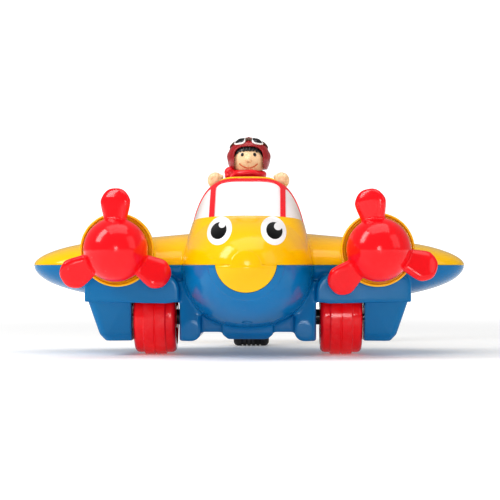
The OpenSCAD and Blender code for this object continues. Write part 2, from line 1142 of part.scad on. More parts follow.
module roller_pin() {
    color(steel)
        axis_x(-roller_w / 2 - 5, roller_y, roller_r)
            cylinder(r = rod_r, h = roller_w + 10, $fn = 48);
}

module rear_roller() {
    color(black)
        axis_x(-roller_w / 2, roller_y, roller_r)
            rotate_extrude($fn = 96)
                difference() {
                    union() {
                        square([roller_r - 3, roller_w]);
                        translate([0, 3])
                            square([roller_r, roller_w - 6]);
                        for (z = [3, roller_w - 3])
                            translate([roller_r - 3, z])
                                circle(r = 3, $fn = 32);
                    }
                    square([rod_r + run, roller_w]);
                }
}

// ---- Pilot --------------------------------------------------------------

hand_x = 20.5;
hand_y = arch_y + arch_t + 6;
hand_z = 105.6;
neck_z = 106;

module pilot_body() {
    color("darkred")
        difference() {
            union() {
                hull() {
                    translate([0, pilot_y, pilot_z])
                        cylinder(r = 10.5, h = 1, $fn = 48);
                    for (side = [-1, 1])
                        translate([side * 8, pilot_y, neck_z - 8])
                            sphere(r = 6.5, $fn = 24);
                    translate([0, pilot_y, neck_z - 3])
                        cylinder(r = 7, h = 2, $fn = 32);
                }
                for (side = [-1, 1])
                    hull() {
                        translate([side * 11, pilot_y, neck_z - 8])
                            sphere(r = 4.6, $fn = 24);
                        translate([side * (hand_x - 2.5), hand_y + 5, hand_z - 1])
                            sphere(r = 3.8, $fn = 24);
                    }
            }
            for (side = [-1, 1])
                hand(side, 0);
            translate([0, pilot_y, neck_z - 10])
                cylinder(r = 3.1, h = 30, $fn = 48);
        }
}

module hand(side, grow) {
    translate([side * hand_x, hand_y, hand_z])
        sphere(r = 5.3 + grow, $fn = 32);
}

module pilot_hands() {
    color(skin)
        for (side = [-1, 1])
            hand(side, 0);
}

module pilot_scarf() {
    color(red)
        translate([0, pilot_y, neck_z - 1])
            rotate_extrude($fn = 64)
                translate([8.6, 2.6])
                    circle(r = 2.6, $fn = 24);
}

// Head with its neck peg, which turns in the body
module pilot_head() {
    color(skin)
        union() {
            translate([0, pilot_y, head_z])
                sphere(r = 11, $fn = 48);
            translate([0, pilot_y, neck_z - 9])
                cylinder(r = 3, h = 16, $fn = 48);
            translate([0, pilot_y - 11, head_z - 3.5])
                sphere(r = 1.8, $fn = 24);
        }
}

module helmet_ball(r) {
    translate([0, pilot_y + 0.5, head_z + 0.6])
        sphere(r = r, $fn = 48);
}

// Opening of the helmet round the face
module face_gap(r) {
    translate([0, pilot_y - 14, head_z - 3.4])
        rotate([90, 0, 0])
            translate([0, 0, -11])
                cylinder(r = r, h = 22, $fn = 48);
}

module pilot_helmet() {
    color("darkred")
        difference() {
            union() {
                helmet_ball(helmet_w / 2);
                for (side = [-1, 1])
                    translate([side * 10.6, pilot_y + 1, head_z - 4])
                        sphere(r = 4.4, $fn = 24);
            }
            helmet_ball(11.9);
            face_gap(9.6);
            translate([-30, pilot_y - 30, head_z - 30])
                cube([60, 60, 22]);
        }
}

module pilot_hair() {
    color(black)
        difference() {
            intersection() {
                helmet_ball(11.8);
                translate([-30, pilot_y - 30, head_z])
                    cube([60, 60, 30]);
            }
            translate([0, pilot_y, head_z])
                sphere(r = 11.05, $fn = 48);
            face_gap(6.2);
        }
}

module pilot_goggles() {
    color(white)
        difference() {
            for (side = [-1, 1])
                translate([side * 5, pilot_y - 10.6, head_z + 9.4])
                    rotate([-35, 0, side * 20])
                        scale([1, 0.4, 0.8])
                            sphere(r = 4, $fn = 24);
            helmet_ball(helmet_w / 2);
        }
}

lower_shell();
left_gear_housing();
right_gear_housing();
upper_shell();
tail_fin();
tailplane();
left_cowl();
right_cowl();
windscreen();
windscreen_frame();
cockpit_tub();
left_gear_plate();
right_gear_plate();
axle_bushes();
prop_bearings();
motor_frame_left();
motor_frame_right();
motor_screws();
body_screws();
roller_bracket();
roller_pin();
rear_roller();
axle_rod();
left_wheel();
right_wheel();
hub_spacers();
left_axle_gear();
right_axle_gear();
motor_drive_gear();
cluster_gear();
flywheel();
flywheel_pinion();
left_idler_gear();
right_idler_gear();
left_crown_gear();
right_crown_gear();
left_prop_shaft();
right_prop_shaft();
left_pinion();
right_pinion();
left_propeller();
right_propeller();
left_hub_plate();
right_hub_plate();
pilot_body();
pilot_hands();
pilot_scarf();
pilot_head();
pilot_hair();
pilot_helmet();
pilot_goggles();
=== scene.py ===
import json
import math

import bmesh
import bpy
import numpy as np
from mathutils import Matrix, Vector
from mathutils.bvhtree import BVHTree


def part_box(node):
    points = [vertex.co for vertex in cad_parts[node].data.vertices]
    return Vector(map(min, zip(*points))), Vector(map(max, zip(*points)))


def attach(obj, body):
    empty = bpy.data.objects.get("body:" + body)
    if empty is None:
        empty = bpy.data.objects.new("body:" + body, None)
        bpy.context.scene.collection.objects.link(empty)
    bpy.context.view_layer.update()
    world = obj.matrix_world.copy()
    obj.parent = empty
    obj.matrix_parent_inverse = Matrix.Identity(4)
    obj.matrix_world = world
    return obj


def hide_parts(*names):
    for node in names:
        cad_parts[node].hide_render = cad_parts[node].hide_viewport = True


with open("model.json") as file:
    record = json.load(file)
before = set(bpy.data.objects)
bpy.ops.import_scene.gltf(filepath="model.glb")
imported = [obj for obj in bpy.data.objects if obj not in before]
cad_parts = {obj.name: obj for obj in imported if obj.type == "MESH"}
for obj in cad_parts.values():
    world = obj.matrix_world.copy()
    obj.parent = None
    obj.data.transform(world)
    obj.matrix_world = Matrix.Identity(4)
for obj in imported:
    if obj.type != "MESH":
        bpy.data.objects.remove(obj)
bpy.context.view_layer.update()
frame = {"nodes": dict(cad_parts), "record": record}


# ---- Camera --------------------------------------------------------------------------
# The plane is seen from straight ahead at the height of its seam, from a good metre away,
# with the camera a little to the right of the nose.

MM = 0.001
view_distance = 1.1
view_width = 0.3145
view_start = Vector((0.019, -1.125, 0.055))
view_target = Vector((0.001, -0.045, 0.055))


def add_object(name, data):
    made = bpy.data.objects.new(name, data)
    bpy.context.scene.collection.objects.link(made)
    return made


def add_camera():
    data = bpy.data.cameras.new("camera")
    data.sensor_width = 36
    data.lens = data.sensor_width * view_distance / view_width
    data.shift_y = 0.03
    data.clip_start = 0.05
    camera = add_object("camera", data)
    camera.location = view_start
    camera.rotation_euler = (view_target - view_start).to_track_quat("-Z", "Y").to_euler()
    bpy.context.scene.camera = camera


add_camera()
bpy.context.scene.view_settings.view_transform = "Standard"
bpy.context.scene.view_settings.look = "Medium High Contrast"


# ---- Materials -----------------------------------------------------------------------
# Every piece is injection moulded plastic, soft vinyl, rubber or steel. The finishes share
# the same make-up: a pigment that varies a little, handling marks in the gloss, and a
# moulded texture. A Finish builds one material, and a Socket does its arithmetic.


class Socket:
    """An output of a node, on which arithmetic adds Math nodes."""

    def __init__(self, finish, output):
        self.finish = finish
        self.output = output

    def maths(self, operation, *values):
        sockets = {i: value for i, value in enumerate(values)}
        return self.finish.node("ShaderNodeMath", {"operation": operation}, sockets)

    def __add__(self, other):
        return self.maths("ADD", self, other)

    def __mul__(self, other):
        return self.maths("MULTIPLY", self, other)

    def clamped(self, low, high):
        """Goes from 0 at low to 1 at high, and stays there."""
        sockets = {"Value": self, "From Min": low, "From Max": high}
        settings = {"interpolation_type": "SMOOTHSTEP"}
        return self.finish.node("ShaderNodeMapRange", settings, sockets)


finishes = {}


class Finish:
    """One procedural material, round one Principled shader."""

    def __init__(self, name, **constants):
        self.material = bpy.data.materials.new(name)
        finishes[name] = self.material
        self.material.use_nodes = True
        self.tree = self.material.node_tree
        self.shader = self.tree.nodes["Principled BSDF"]
        for key, value in constants.items():
            self.shader.inputs[key.replace("_", " ").title().replace("Ior", "IOR")].default_value = value

    def node(self, kind, settings, sockets, output=0):
        made = self.tree.nodes.new(kind)
        for key, value in settings.items():
            setattr(made, key, value)
        for key, value in sockets.items():
            if isinstance(value, Socket):
                self.tree.links.new(value.output, made.inputs[key])
            else:
                made.inputs[key].default_value = value
        return Socket(self, made.outputs[output])

    def feed(self, name, value):
        self.tree.links.new(value.output, self.shader.inputs[name])

    def place(self):
        return self.node("ShaderNodeTexCoord", {}, {}, "Object")

    def noise(self, scale, detail=3.0, rough=0.5, place=None):
        sockets = {"Vector": place or self.place(), "Scale": scale, "Detail": detail, "Roughness": rough}
        return self.node("ShaderNodeTexNoise", {}, sockets, 0)

    def stretched(self, x, y, z):
        return self.node("ShaderNodeVectorMath", {"operation": "MULTIPLY"}, {0: self.place(), 1: (x, y, z)})

    def blend(self, amount, first, second):
        """Colour that goes from first to second with amount."""
        sockets = {0: amount, 6: first, 7: second}
        return self.node("ShaderNodeMix", {"data_type": "RGBA"}, sockets, 2)

    def bump(self, height, depth):
        sockets = {"Height": height, "Distance": depth, "Strength": 1.0}
        self.feed("Normal", self.node("ShaderNodeBump", {}, sockets))


def rgba(colour, light=1.0):
    return tuple(min(1.0, c * light) for c in colour) + (1.0,)


def moulded(name, colour, rough=0.2, coat=0.3, grain=900.0, depth=6e-6, worn=0.10, gloss=0.35):
    """Plastic: cloudy pigment, worn edges, fine scratches in the gloss and a moulded skin."""
    made = Finish(name, roughness=rough, coat_weight=coat, coat_roughness=0.06)
    made.shader.inputs["Specular IOR Level"].default_value = gloss
    cloud = made.noise(22.0, 4.0, 0.55)
    fleck = made.noise(2600.0, 1.0)
    shade = (cloud * 0.75 + fleck * 0.25).clamped(0.3, 0.72)
    pigment = made.blend(shade, rgba(colour, 0.94), rgba(colour, 1.05))
    edge = made.node("ShaderNodeNewGeometry", {}, {}, "Pointiness").clamped(0.515, 0.6)
    patchy = made.noise(160.0, 3.0, 0.6).clamped(0.42, 0.66)
    pale = tuple(c + (1.0 - c) * 0.35 for c in colour)
    made.feed("Base Color", made.blend(edge * patchy * worn, pigment, rgba(pale)))
    scratch = made.noise(1.0, 2.0, 0.7, made.stretched(300.0, 2400.0, 300.0)).clamped(0.56, 0.78)
    smear = made.noise(60.0, 5.0, 0.6).clamped(0.4, 0.75)
    made.feed("Roughness", scratch * 0.05 + smear * 0.06 + rough)
    made.bump(made.noise(grain, 2.0, 0.5) + scratch * 0.35, depth)
    return made.material


yellow_plastic = moulded("yellow_plastic", (1.0, 0.56, 0.0), rough=0.17, gloss=0.25)
blue_plastic = moulded("blue_plastic", (0.0, 0.185, 0.44), rough=0.19, coat=0.22, gloss=0.2)
red_plastic = moulded("red_plastic", (0.97, 0.006, 0.014), rough=0.15, gloss=0.28)
milky_plastic = moulded("milky_plastic", (0.94, 0.90, 0.90), rough=0.16, worn=0.0)
red_paint = moulded("red_paint", (0.86, 0.008, 0.02), rough=0.22, grain=1500.0, depth=9e-6)
black_plastic = moulded("black_plastic", (0.012, 0.012, 0.014), rough=0.3)
grey_plastic = moulded("grey_plastic", (0.32, 0.33, 0.35), rough=0.4, coat=0.1)
gear_nylon = moulded("gear_nylon", (0.86, 0.85, 0.80), rough=0.38, coat=0.0)


# ---- Stage and light -----------------------------------------------------------------
# A white floor that glows more with distance, one tall soft light from the upper left, a
# broad one overhead, a weak one from the right, and a small one beside the camera.


def add_light(name, place, aim, size, radiance):
    data = bpy.data.lights.new(name, "AREA")
    data.shape = "RECTANGLE"
    data.size, data.size_y = size
    data.energy = radiance * math.pi * size[0] * size[1]
    light = add_object(name, data)
    light.location = place
    light.rotation_euler = (Vector(aim) - Vector(place)).to_track_quat("-Z", "Y").to_euler()


def add_stage():
    bpy.ops.mesh.primitive_circle_add(vertices=96, radius=4.0, fill_type="NGON")
    floor = bpy.context.object
    floor.name = "floor"
    paper = Finish("paper", roughness=0.6, emission_strength=1.0)
    tone = paper.noise(3.0, 2.0)
    distance = paper.node("ShaderNodeVectorMath", {"operation": "LENGTH"}, {0: paper.place()}, 1)
    away = distance.clamped(0.25, 1.6)
    # Painted light: the floor glows by its own emission, dim grey near the toy and nearly white far off.
    paper.feed("Emission Color", paper.blend(away, (0.14, 0.14, 0.14, 1.0), (0.95, 0.95, 0.95, 1.0)))
    paper.feed("Base Color", paper.blend(tone, (0.90, 0.90, 0.90, 1.0), (0.93, 0.93, 0.93, 1.0)))
    floor.data.materials.append(paper.material)


def add_sky():
    """White where the camera looks past the floor, and dimmer where it lights the toy."""
    world = bpy.data.worlds.new("studio")
    bpy.context.scene.world = world
    world.use_nodes = True
    nodes, links = world.node_tree.nodes, world.node_tree.links
    path = nodes.new("ShaderNodeLightPath")
    strength = nodes.new("ShaderNodeMapRange")
    strength.inputs["To Min"].default_value = 0.32
    strength.inputs["To Max"].default_value = 1.05
    links.new(path.outputs["Is Camera Ray"], strength.inputs["Value"])
    links.new(strength.outputs[0], nodes["Background"].inputs["Strength"])
    nodes["Background"].inputs["Color"].default_value = (1.0, 1.0, 1.0, 1.0)


add_stage()
add_sky()
add_light("key", (-0.80, -0.42, 0.82), (0, -0.03, 0.06), (0.36, 0.80), 7.0)
add_light("overhead", (0.06, -0.22, 1.15), (0, -0.03, 0.05), (1.1, 0.8), 1.7)
add_light("fill", (1.10, -0.55, 0.60), (0, -0.03, 0.06), (0.6, 0.9), 1.0)
add_light("front", (0.05, -1.35, 0.16), (0, -0.05, 0.06), (0.24, 0.24), 8.0)


# ---- Fuselage, wings and nacelles ----------------------------------------------------
# The yellow and the blue shell are one streamlined shape, moulded in two halves that meet
# at a fine groove along the seam. Their sections are rounded boxes: full at the cabin,
# egg-shaped at the nose, and narrow at the tail.


def box_of(node):
    """Low and high corners of a node's box."""
    return [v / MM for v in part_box(node)]


def turns(steps):
    """Angles of an even full turn."""
    return np.linspace(0.0, 2.0 * math.pi, steps, endpoint=False)


lower_box = box_of("lower_shell")
upper_box = box_of("upper_shell")
seam_z = lower_box[1].z
nose_y = upper_box[0].y
tail_y = upper_box[1].y
tip_x = upper_box[1].x
beam_y, screen_y, arch_y = -60.0, -88.0, -50.0
body_half, tail_half = 40.0, 11.0
nose_h, arch_h, tail_h, belly_h = 32.0, 53.5, 15.0, 38.0
tail_round = 12.0
wall = 2.2
root_chord, tip_chord = 50.0, 33.0
root_rise, tip_rise, wing_drop = 23.0, 14.2, 21.0
wing_y = -23.0
chord_end, rise_end, drop_end = 88.0, 98.0, 66.0


def mix(a, b, t):
    return a + (b - a) * t


def ease(t):
    t = np.clip(t, 0.0, 1.0)
    return t * t * (3.0 - 2.0 * t)


def nose_fade(y):
    return math.sqrt(max(0.0, 1.0 - ((beam_y - y) / (beam_y - nose_y)) ** 2))


def tail_end(y):
    return math.sqrt(max(0.0, 1.0 - (max(0.0, y - tail_y + tail_round) / tail_round) ** 2))


def tail_fade(y):
    return 0.5 + 0.5 * math.cos(math.pi * min(1.0, max(0.0, (y - beam_y) / (tail_y - beam_y))))


def half_width(y):
    if y < beam_y:
        return body_half * nose_fade(y)
    return mix(tail_half, body_half, tail_fade(y)) * tail_end(y)


def back_height(y):
    foot = nose_h * nose_fade(screen_y)
    if y < screen_y:
        return nose_h * nose_fade(y)
    if y < arch_y:
        return mix(foot, arch_h, (y - screen_y) / (arch_y - screen_y))
    return mix(tail_h, arch_h, tail_fade(y - arch_y + beam_y) ** 0.8) * tail_end(y)


def belly_depth(y):
    if y < beam_y:
        return belly_h * nose_fade(y)
    return mix(tail_h, belly_h, tail_fade(y)) * tail_end(y)


def curve(c, n):
    """Coordinate of a superellipse of exponent n."""
    return np.sign(c) * np.abs(c) ** (2.0 / n)


def body_ring(y, inset, around=200):
    """Section of the fuselage at station y, moved in by inset."""
    a = turns(around)
    boxy = ease((y + 100.0) / 45.0) * (1.0 - ease((y - 20.0) / 90.0))
    n = mix(2.1, 4.0, boxy)
    high = curve(np.sin(a), n)
    half = max(0.2, half_width(y) - inset)
    top = np.column_stack((half * curve(np.cos(a), n) * (1.0 - mix(0.02, 0.26, boxy) * high),
                           np.full(around, y), seam_z + max(0.2, back_height(y) - inset) * high))
    low = np.column_stack((half * curve(np.cos(a), 2.3), np.full(around, y),
                           seam_z + max(0.2, belly_depth(y) - inset) * curve(np.sin(a), 2.3)))
    return np.where((np.sin(a) >= 0.0)[:, None], top, low)


def body_stations(inset):
    nose = [beam_y + (nose_y + inset - beam_y) * math.cos(a) for a in np.linspace(0.03, math.pi / 2, 70)]
    cabin = list(np.arange(beam_y + 1.5, tail_y - tail_round, 1.5))
    tail = [tail_y - inset - tail_round * (1.0 - math.sin(a)) for a in np.linspace(0.0, 1.54, 20)]
    return nose + cabin + tail


def add_solid(name, points, faces):
    mesh = bpy.data.meshes.new(name)
    mesh.from_pydata([tuple(p) for p in np.asarray(points) * MM], [], faces)
    made = add_object(name, mesh)
    rework(made, lambda bm: bmesh.ops.recalc_face_normals(bm, faces=bm.faces))
    return made


def rework(piece, change):
    bm = bmesh.new()
    bm.from_mesh(piece.data)
    change(bm)
    bm.to_mesh(piece.data)
    bm.free()


def loft(name, rings):
    """Closed skin through rings of points, which all have the same count."""
    n = len(rings[0])
    faces = [
        (k * n + i, k * n + (i + 1) % n, (k + 1) * n + (i + 1) % n, (k + 1) * n + i)
        for k in range(len(rings) - 1)
        for i in range(n)
    ]
    last = (len(rings) - 1) * n
    faces += [tuple(range(n)), tuple(range(last, last + n))]
    return add_solid(name, np.concatenate(rings), faces)


def body(inset):
    return loft("body", [body_ring(y, inset) for y in body_stations(inset)])


def tip_fade(x, start, n):
    t = min(1.0, max(0.0, (x - start) / (tip_x - start)))
    return max(0.0, 1.0 - t ** n) ** (1.0 / n)


def wing_ring(x, inset, around=140):
    a = turns(around)
    chord = mix(root_chord, tip_chord, x / tip_x) * tip_fade(x, chord_end, 2.6) - inset
    up = mix(root_rise, tip_rise, x / rise_end) * tip_fade(x, rise_end, 2.0) - inset
    down = wing_drop * tip_fade(x, drop_end, 2.0) - inset
    rise = np.where(np.sin(a) >= 0.0, max(0.1, up), max(0.1, down))
    y = wing_y - x / tip_x + max(0.1, chord) * np.cos(a)
    return np.column_stack((np.full(around, x), y, seam_z + rise * np.sin(a)))


def mirrored(ring):
    return np.asarray(ring) * (-1.0, 1.0, 1.0)


def wing(inset, side):
    end = tip_x - 2.0 * inset
    tip = [mix(chord_end, end, math.sin(a)) for a in np.linspace(0.0, 1.56, 40)]
    rings = [wing_ring(x, inset) for x in list(np.arange(20.0, chord_end, 3.0)) + tip]
    return loft("wing", rings if side > 0 else [mirrored(ring) for ring in rings])


prop_box = box_of("right_prop_shaft")
prop_x = (prop_box[0].x + prop_box[1].x) / 2
prop_z = (prop_box[0].z + prop_box[1].z) / 2


def nacelle(inset, side):
    """Engine pod: full at the cowl, and fading into the wing behind."""
    stops = [-80.0, -62.0, -34.0, -6.0, 8.0]
    along = np.linspace(stops[0], stops[-1], 60)
    radius = np.interp(along, stops, [20.5, 20.5, 17.0, 11.0, 3.0])
    height = np.interp(along, stops, [prop_z, prop_z, 63.0, 61.0, 58.0])
    for _ in range(12):
        radius[1:-1] = (radius[:-2] + 2.0 * radius[1:-1] + radius[2:]) / 4.0
        height[1:-1] = (height[:-2] + 2.0 * height[1:-1] + height[2:]) / 4.0
    rings = []
    for y, r, z in zip(along, radius, height):
        ring = circle(side * prop_x, z, max(0.3, r - inset), 120)
        rings.append(np.column_stack((ring[:, 0], np.full(120, y), ring[:, 1])))
    return loft("nacelle", rings)


# ---- Wheel fairings, struts and keel -------------------------------------------------
# Under each wing a round-shouldered fairing covers the wheel, between a strut at the belly
# and the gear housing outboard. A flat belly and a keel with the friction motor lie between.

axle_box = box_of("axle_rod")
axle_y = (axle_box[0].y + axle_box[1].y) / 2
axle_z = (axle_box[0].z + axle_box[1].z) / 2
housing_box = box_of("right_gear_housing")
well_out, leg_top = housing_box[0].x, housing_box[1].x
fairing_y, fairing_back = housing_box[0].y, housing_box[1].y
leg_z, split_z = housing_box[0].z, housing_box[1].z
wheel_box = box_of("right_wheel")
wheel_r = (wheel_box[1].z - wheel_box[0].z) / 2
well_in = 41.4
well_top = 32.7
strut_in = 28.2


def circle(cx, cy, r, steps=48):
    a = turns(steps)
    return np.column_stack((cx + r * np.cos(a), cy + r * np.sin(a)))


def hull(name, points):
    made = add_solid(name, points, [])
    rework(made, wrap)
    return made


def wrap(bm):
    found = bmesh.ops.convex_hull(bm, input=bm.verts)
    loose = [v for v in found["geom_interior"] if isinstance(v, bmesh.types.BMVert)]
    bmesh.ops.delete(bm, geom=loose, context="VERTS")
    bmesh.ops.recalc_face_normals(bm, faces=bm.faces)


def along_y(flat, y0, y1):
    """Points of an outline in x and z, at both ends of a run along Y."""
    return [(x, y, z) for y in (y0, y1) for x, z in flat]


def corners(low, high):
    return [(x, y, z) for x in (low[0], high[0]) for y in (low[1], high[1]) for z in (low[2], high[2])]


def block(name, low, high):
    return hull(name, corners(low, high))


def sided(points, side):
    return [(side * p[0], p[1], p[2]) for p in points]


def fairing(side):
    shoulders = np.concatenate((circle(50.0, 40.3, 8.6), circle(94.6, 44.0, 4.0)))
    foot = corners((well_in, fairing_y, well_top), (leg_top, fairing_back, split_z))
    return hull("fairing", sided(along_y(shoulders, fairing_y, fairing_back) + foot, side))


def leg_points(grow=0.0):
    """Corner posts of the gear housing, narrower and set in towards the foot."""
    found = []
    for x, z, inset in ((leg_top, split_z, 0.0), (90.0, leg_z + 4.0, 3.0), (86.5, leg_z, 6.0)):
        for y in (fairing_y + 4.0 + inset, fairing_back - 4.0 - inset):
            for cx, r in ((well_out + 1.0, 1.0), (x - 4.0, 4.0)):
                found += [(px, py, z) for px, py in circle(cx, y, r + grow)]
    return found


def strut(side):
    foot = along_y(circle(strut_in + 6.0, leg_z + 6.0, 6.0), fairing_y, fairing_back - 4.0)
    back = corners((well_in - 4.0, fairing_y + 4.0, leg_z), (well_in, fairing_back, leg_z + 36.0))
    top = corners((strut_in, fairing_y + 4.0, 30.0), (strut_in + 4.0, fairing_back, 45.0))
    return hull("strut", sided(foot + back + top, side))


keel_half = 15.3
keel_z = 10.0


def keel(t):
    upper = corners((t - keel_half, t - 70.0, keel_z + 3.0), (keel_half - t, -t, keel_z + 17.0))
    flat = keel_half - 3.5 - min(t, 0.2)
    pad = corners((-flat, t - 66.0, keel_z + min(t, 1.8)), (flat, -4.0 - t, keel_z + 4.0))
    return hull("keel", upper + pad)


def belly_block(t):
    return block("belly", (-strut_in - 2.0, t - 66.0, 14.4 + t), (strut_in + 2.0, -6.0 - t, 34.4))


# ---- Making the two shells -----------------------------------------------------------
# The parts above are fused and their joints softened, as in a mould. The skin is then
# hollowed, cut at the seam and opened for the cockpit, the wheels and the rear roller.


def settle(piece):
    """Makes a piece's modifiers permanent."""
    mesh = bpy.data.meshes.new_from_object(piece.evaluated_get(bpy.context.evaluated_depsgraph_get()))
    piece.modifiers.clear()
    piece.data = mesh


def modify(piece, kind, **settings):
    made = piece.modifiers.new(kind.lower(), kind)
    for key, value in settings.items():
        setattr(made, key, value)
    settle(piece)


def join(name, parts):
    bm = bmesh.new()
    for part in parts:
        bm.from_mesh(part.data)
        bpy.data.objects.remove(part)
    mesh = bpy.data.meshes.new(name)
    bm.to_mesh(mesh)
    bm.free()
    return add_object(name, mesh)


def carve(piece, tools, how="DIFFERENCE"):
    """Cuts the tools, which stay clear of each other, out of a piece, or adds them to it."""
    tool = join("tool", tools)
    modify(piece, "BOOLEAN", operation=how, solver="MANIFOLD", object=tool)
    bpy.data.objects.remove(tool)


def copy(piece, name):
    return add_object(name, piece.data.copy())


def fuse(name, parts, voxel, rounds):
    """One skin round all the parts, with its creases softened."""
    made = join(name, parts)
    modify(made, "REMESH", mode="VOXEL", voxel_size=voxel * MM)
    modify(made, "SMOOTH", factor=0.5, iterations=rounds)
    return made


def lathe(name, outline, centre, axis, steps=128):
    """Solid turned from an outline of (radius, distance along the axis)."""
    a = turns(steps)
    turn = {"X": lambda r, d: (np.full(steps, d), r * np.cos(a), r * np.sin(a)),
            "Y": lambda r, d: (r * np.cos(a), np.full(steps, d), r * np.sin(a)),
            "Z": lambda r, d: (r * np.cos(a), r * np.sin(a), np.full(steps, d))}[axis]
    return loft(name, [np.column_stack(turn(max(r, 0.02), d)) + np.asarray(centre) for r, d in outline])


def drum(name, r, centre, axis, start, end):
    return lathe(name, [(r, start), (r, end)], centre, axis)


outer = fuse(
    "outer",
    [body(0.0), belly_block(0.0), keel(0.0)]
    + [part for side in (-1, 1)
       for part in (wing(0.0, side), nacelle(0.0, side), fairing(side), strut(side))],
    0.8, 6,
)
cavity = fuse(
    "cavity",
    [body(wall), belly_block(wall), keel(wall)]
    + [part for side in (-1, 1) for part in (wing(wall, side), nacelle(wall, side))],
    1.2, 2,
)

lobe_r, lobe_z, lobe_back = 17.8, seam_z + 2.0, -119.0
ring_r = 22.6
groove_half, groove_depth = 0.45, 0.3


def groove(piece, height):
    """Fine V round a piece, where two halves will meet."""

    def press_in(bm):
        for z in (height - groove_half, height, height + groove_half):
            geometry = bm.verts[:] + bm.edges[:] + bm.faces[:]
            bmesh.ops.bisect_plane(bm, geom=geometry, plane_co=(0, 0, z * MM), plane_no=(0, 0, 1))
        bm.normal_update()
        for v in bm.verts:
            if abs(v.co.z - height * MM) < 1e-7:
                v.co -= Vector((v.normal.x, v.normal.y, 0.0)).normalized() * groove_depth * MM

    rework(piece, press_in)


def raise_ring(bm):
    """Low step in the blue shell, concentric with the yellow tip of the nose."""
    for v in bm.verts:
        out = math.hypot(v.co.x, v.co.z - lobe_z * MM) / MM
        if v.co.y < -100.0 * MM and v.co.z < (seam_z - 0.6) * MM and out < ring_r:
            v.co += v.normal * 0.45 * MM * float(ease((ring_r - out) / 0.8))


rework(outer, raise_ring)
groove(outer, seam_z)

button_r, button_dome = 9.1, 28.0
post_r, screw_r, screw_head_r, screw_seat = 4.0, 1.3, 3.2, 3.0
screw_spots = [(0, -92), (50, 2), (-50, 2), (0, 44), (0, 96)]
reach = 200.0


def both(make):
    return [make(side) for side in (-1, 1)]


def across(side, x0, x1):
    """The two ends along X, in order, of a stretch on one side of the plane."""
    return sorted((side * x0, side * x1))


def side_block(side, low, high):
    x0, x1 = across(side, low[0], high[0])
    return block("block", (x0, low[1], low[2]), (x1, high[1], high[2]))


def side_drum(side, r, x0, x1, y, z):
    start, end = across(side, x0, x1)
    return drum("drum", r, (0, y, z), "X", start, end)


def nose_cylinder(r):
    return drum("lobe", r, (0, 0, lobe_z), "Y", nose_y - 20.0, lobe_back)


def post_depth(spot):
    return belly_depth(spot[1]) - 1.0 if spot[0] == 0 else 16.0


def post_height(spot):
    return back_height(spot[1]) - 1.0 if spot[0] == 0 else 15.0


room_in, room_out = 75.0, 89.7
room_front, room_back = -62.0, -28.0
bearing_r = 5.5
bush_r = 4.2


def gear_rooms():
    return both(lambda side: side_block(side, (room_in, room_front, 20.0), (room_out, room_back, 70.0)))


def shaft_holes():
    return both(lambda side: drum("hole", bearing_r, (side * prop_x, 0, prop_z), "Y", -82.0, -70.0))


slots = {part["material_slot"] for part in frame["record"]["subparts"]}


def finish_piece(piece, name, material, body_name, *nodes, slot=None, angle=32.0):
    """Names a finished piece, smooths its shading, gives it its material and body, and hides the nodes it
    stands for; its slot is looked up but not kept.
    """
    piece.name = name
    piece.data.name = name
    piece.data.materials.clear()
    piece.data.materials.append(material)
    piece.data.polygons.foreach_set("use_smooth", [True] * len(piece.data.polygons))
    piece.data.set_sharp_from_angle(angle=math.radians(angle))
    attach(piece, body_name)
    if nodes:
        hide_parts(*nodes)
    slot = slot or next(finish for finish, made in finishes.items() if made == material)
    slot in slots


roofed = copy(cavity, "roofed")
well_r = wheel_r + 2.0
carve(roofed, both(lambda side: side_drum(
    side, well_r + wall, well_in - wall, well_out + wall, axle_y, axle_z)))


def posts(heights):
    """Screw posts, from (low, high) of each spot."""
    return [drum("post", post_r, (x, y, 0), "Z", *heights((x, y))) for x, y in screw_spots]


def screw_hole(x, y):
    seat = seam_z - post_depth((x, y)) + screw_seat
    outline = [(screw_head_r, -5.0), (screw_head_r, seat), (1.7, seat), (1.7, seam_z + 5.0)]
    return lathe("hole", outline, (x, y, 0), "Z", 48)


roller_box = box_of("rear_roller")
slot_gap = Vector((1.5, 1.5, 1.5))

lower = copy(outer, "lower")
carve(lower, [roofed])
carve(lower, posts(lambda spot: (seam_z - post_depth(spot), seam_z)), "UNION")
carve(lower, [block("above", (-reach, -reach, seam_z), (reach, reach, reach))])
carve(lower, [screw_hole(x, y) for x, y in screw_spots]
      + both(lambda side: hull("leg", sided(leg_points(0.04), side)))
      + [nose_cylinder(lobe_r + 0.22), block("slot", roller_box[0] - slot_gap, roller_box[1] + slot_gap)])
carve(lower, gear_rooms() + shaft_holes()
      + both(lambda side: side_drum(side, well_r, well_in, well_out, axle_y, axle_z)))
carve(lower, both(lambda side: side_block(
    side, (well_in, axle_y - wheel_r + 1.5, -5.0), (well_out, axle_y - wheel_r + 61.5, well_top))))
carve(lower, both(lambda side: side_drum(side, bush_r, 20.0, 100.0, axle_y, axle_z)))
finish_piece(lower, "blue_lower_shell", blue_plastic, "airframe", "lower_shell")

dome = [(button_r * t, nose_y + button_dome - math.sqrt(button_dome ** 2 - (button_r * t) ** 2))
        for t in np.linspace(0.0, 0.94, 12)]
dome += [(button_r, dome[-1][1] + 0.45), (button_r, nose_y + 4.0), (0.0, nose_y + 4.0)]
plug = copy(outer, "plug")
carve(plug, [nose_cylinder(lobe_r)], "INTERSECT")
surface = BVHTree.FromObject(outer, bpy.context.evaluated_depsgraph_get())

upper = outer
carve(upper, [cavity])
carve(upper, posts(lambda spot: (seam_z, seam_z + post_height(spot))), "UNION")
carve(upper, [block("below", (-reach, -reach, -reach), (reach, reach, seam_z))])
carve(upper, gear_rooms() + shaft_holes()
      + [drum("hole", screw_r, (x, y, 0), "Z", seam_z - 5.0, seam_z + 12.0) for x, y in screw_spots])
carve(upper, [plug], "UNION")
carve(upper, [lathe("button", dome, (0, 0, seam_z - 0.5), "Y")], "UNION")


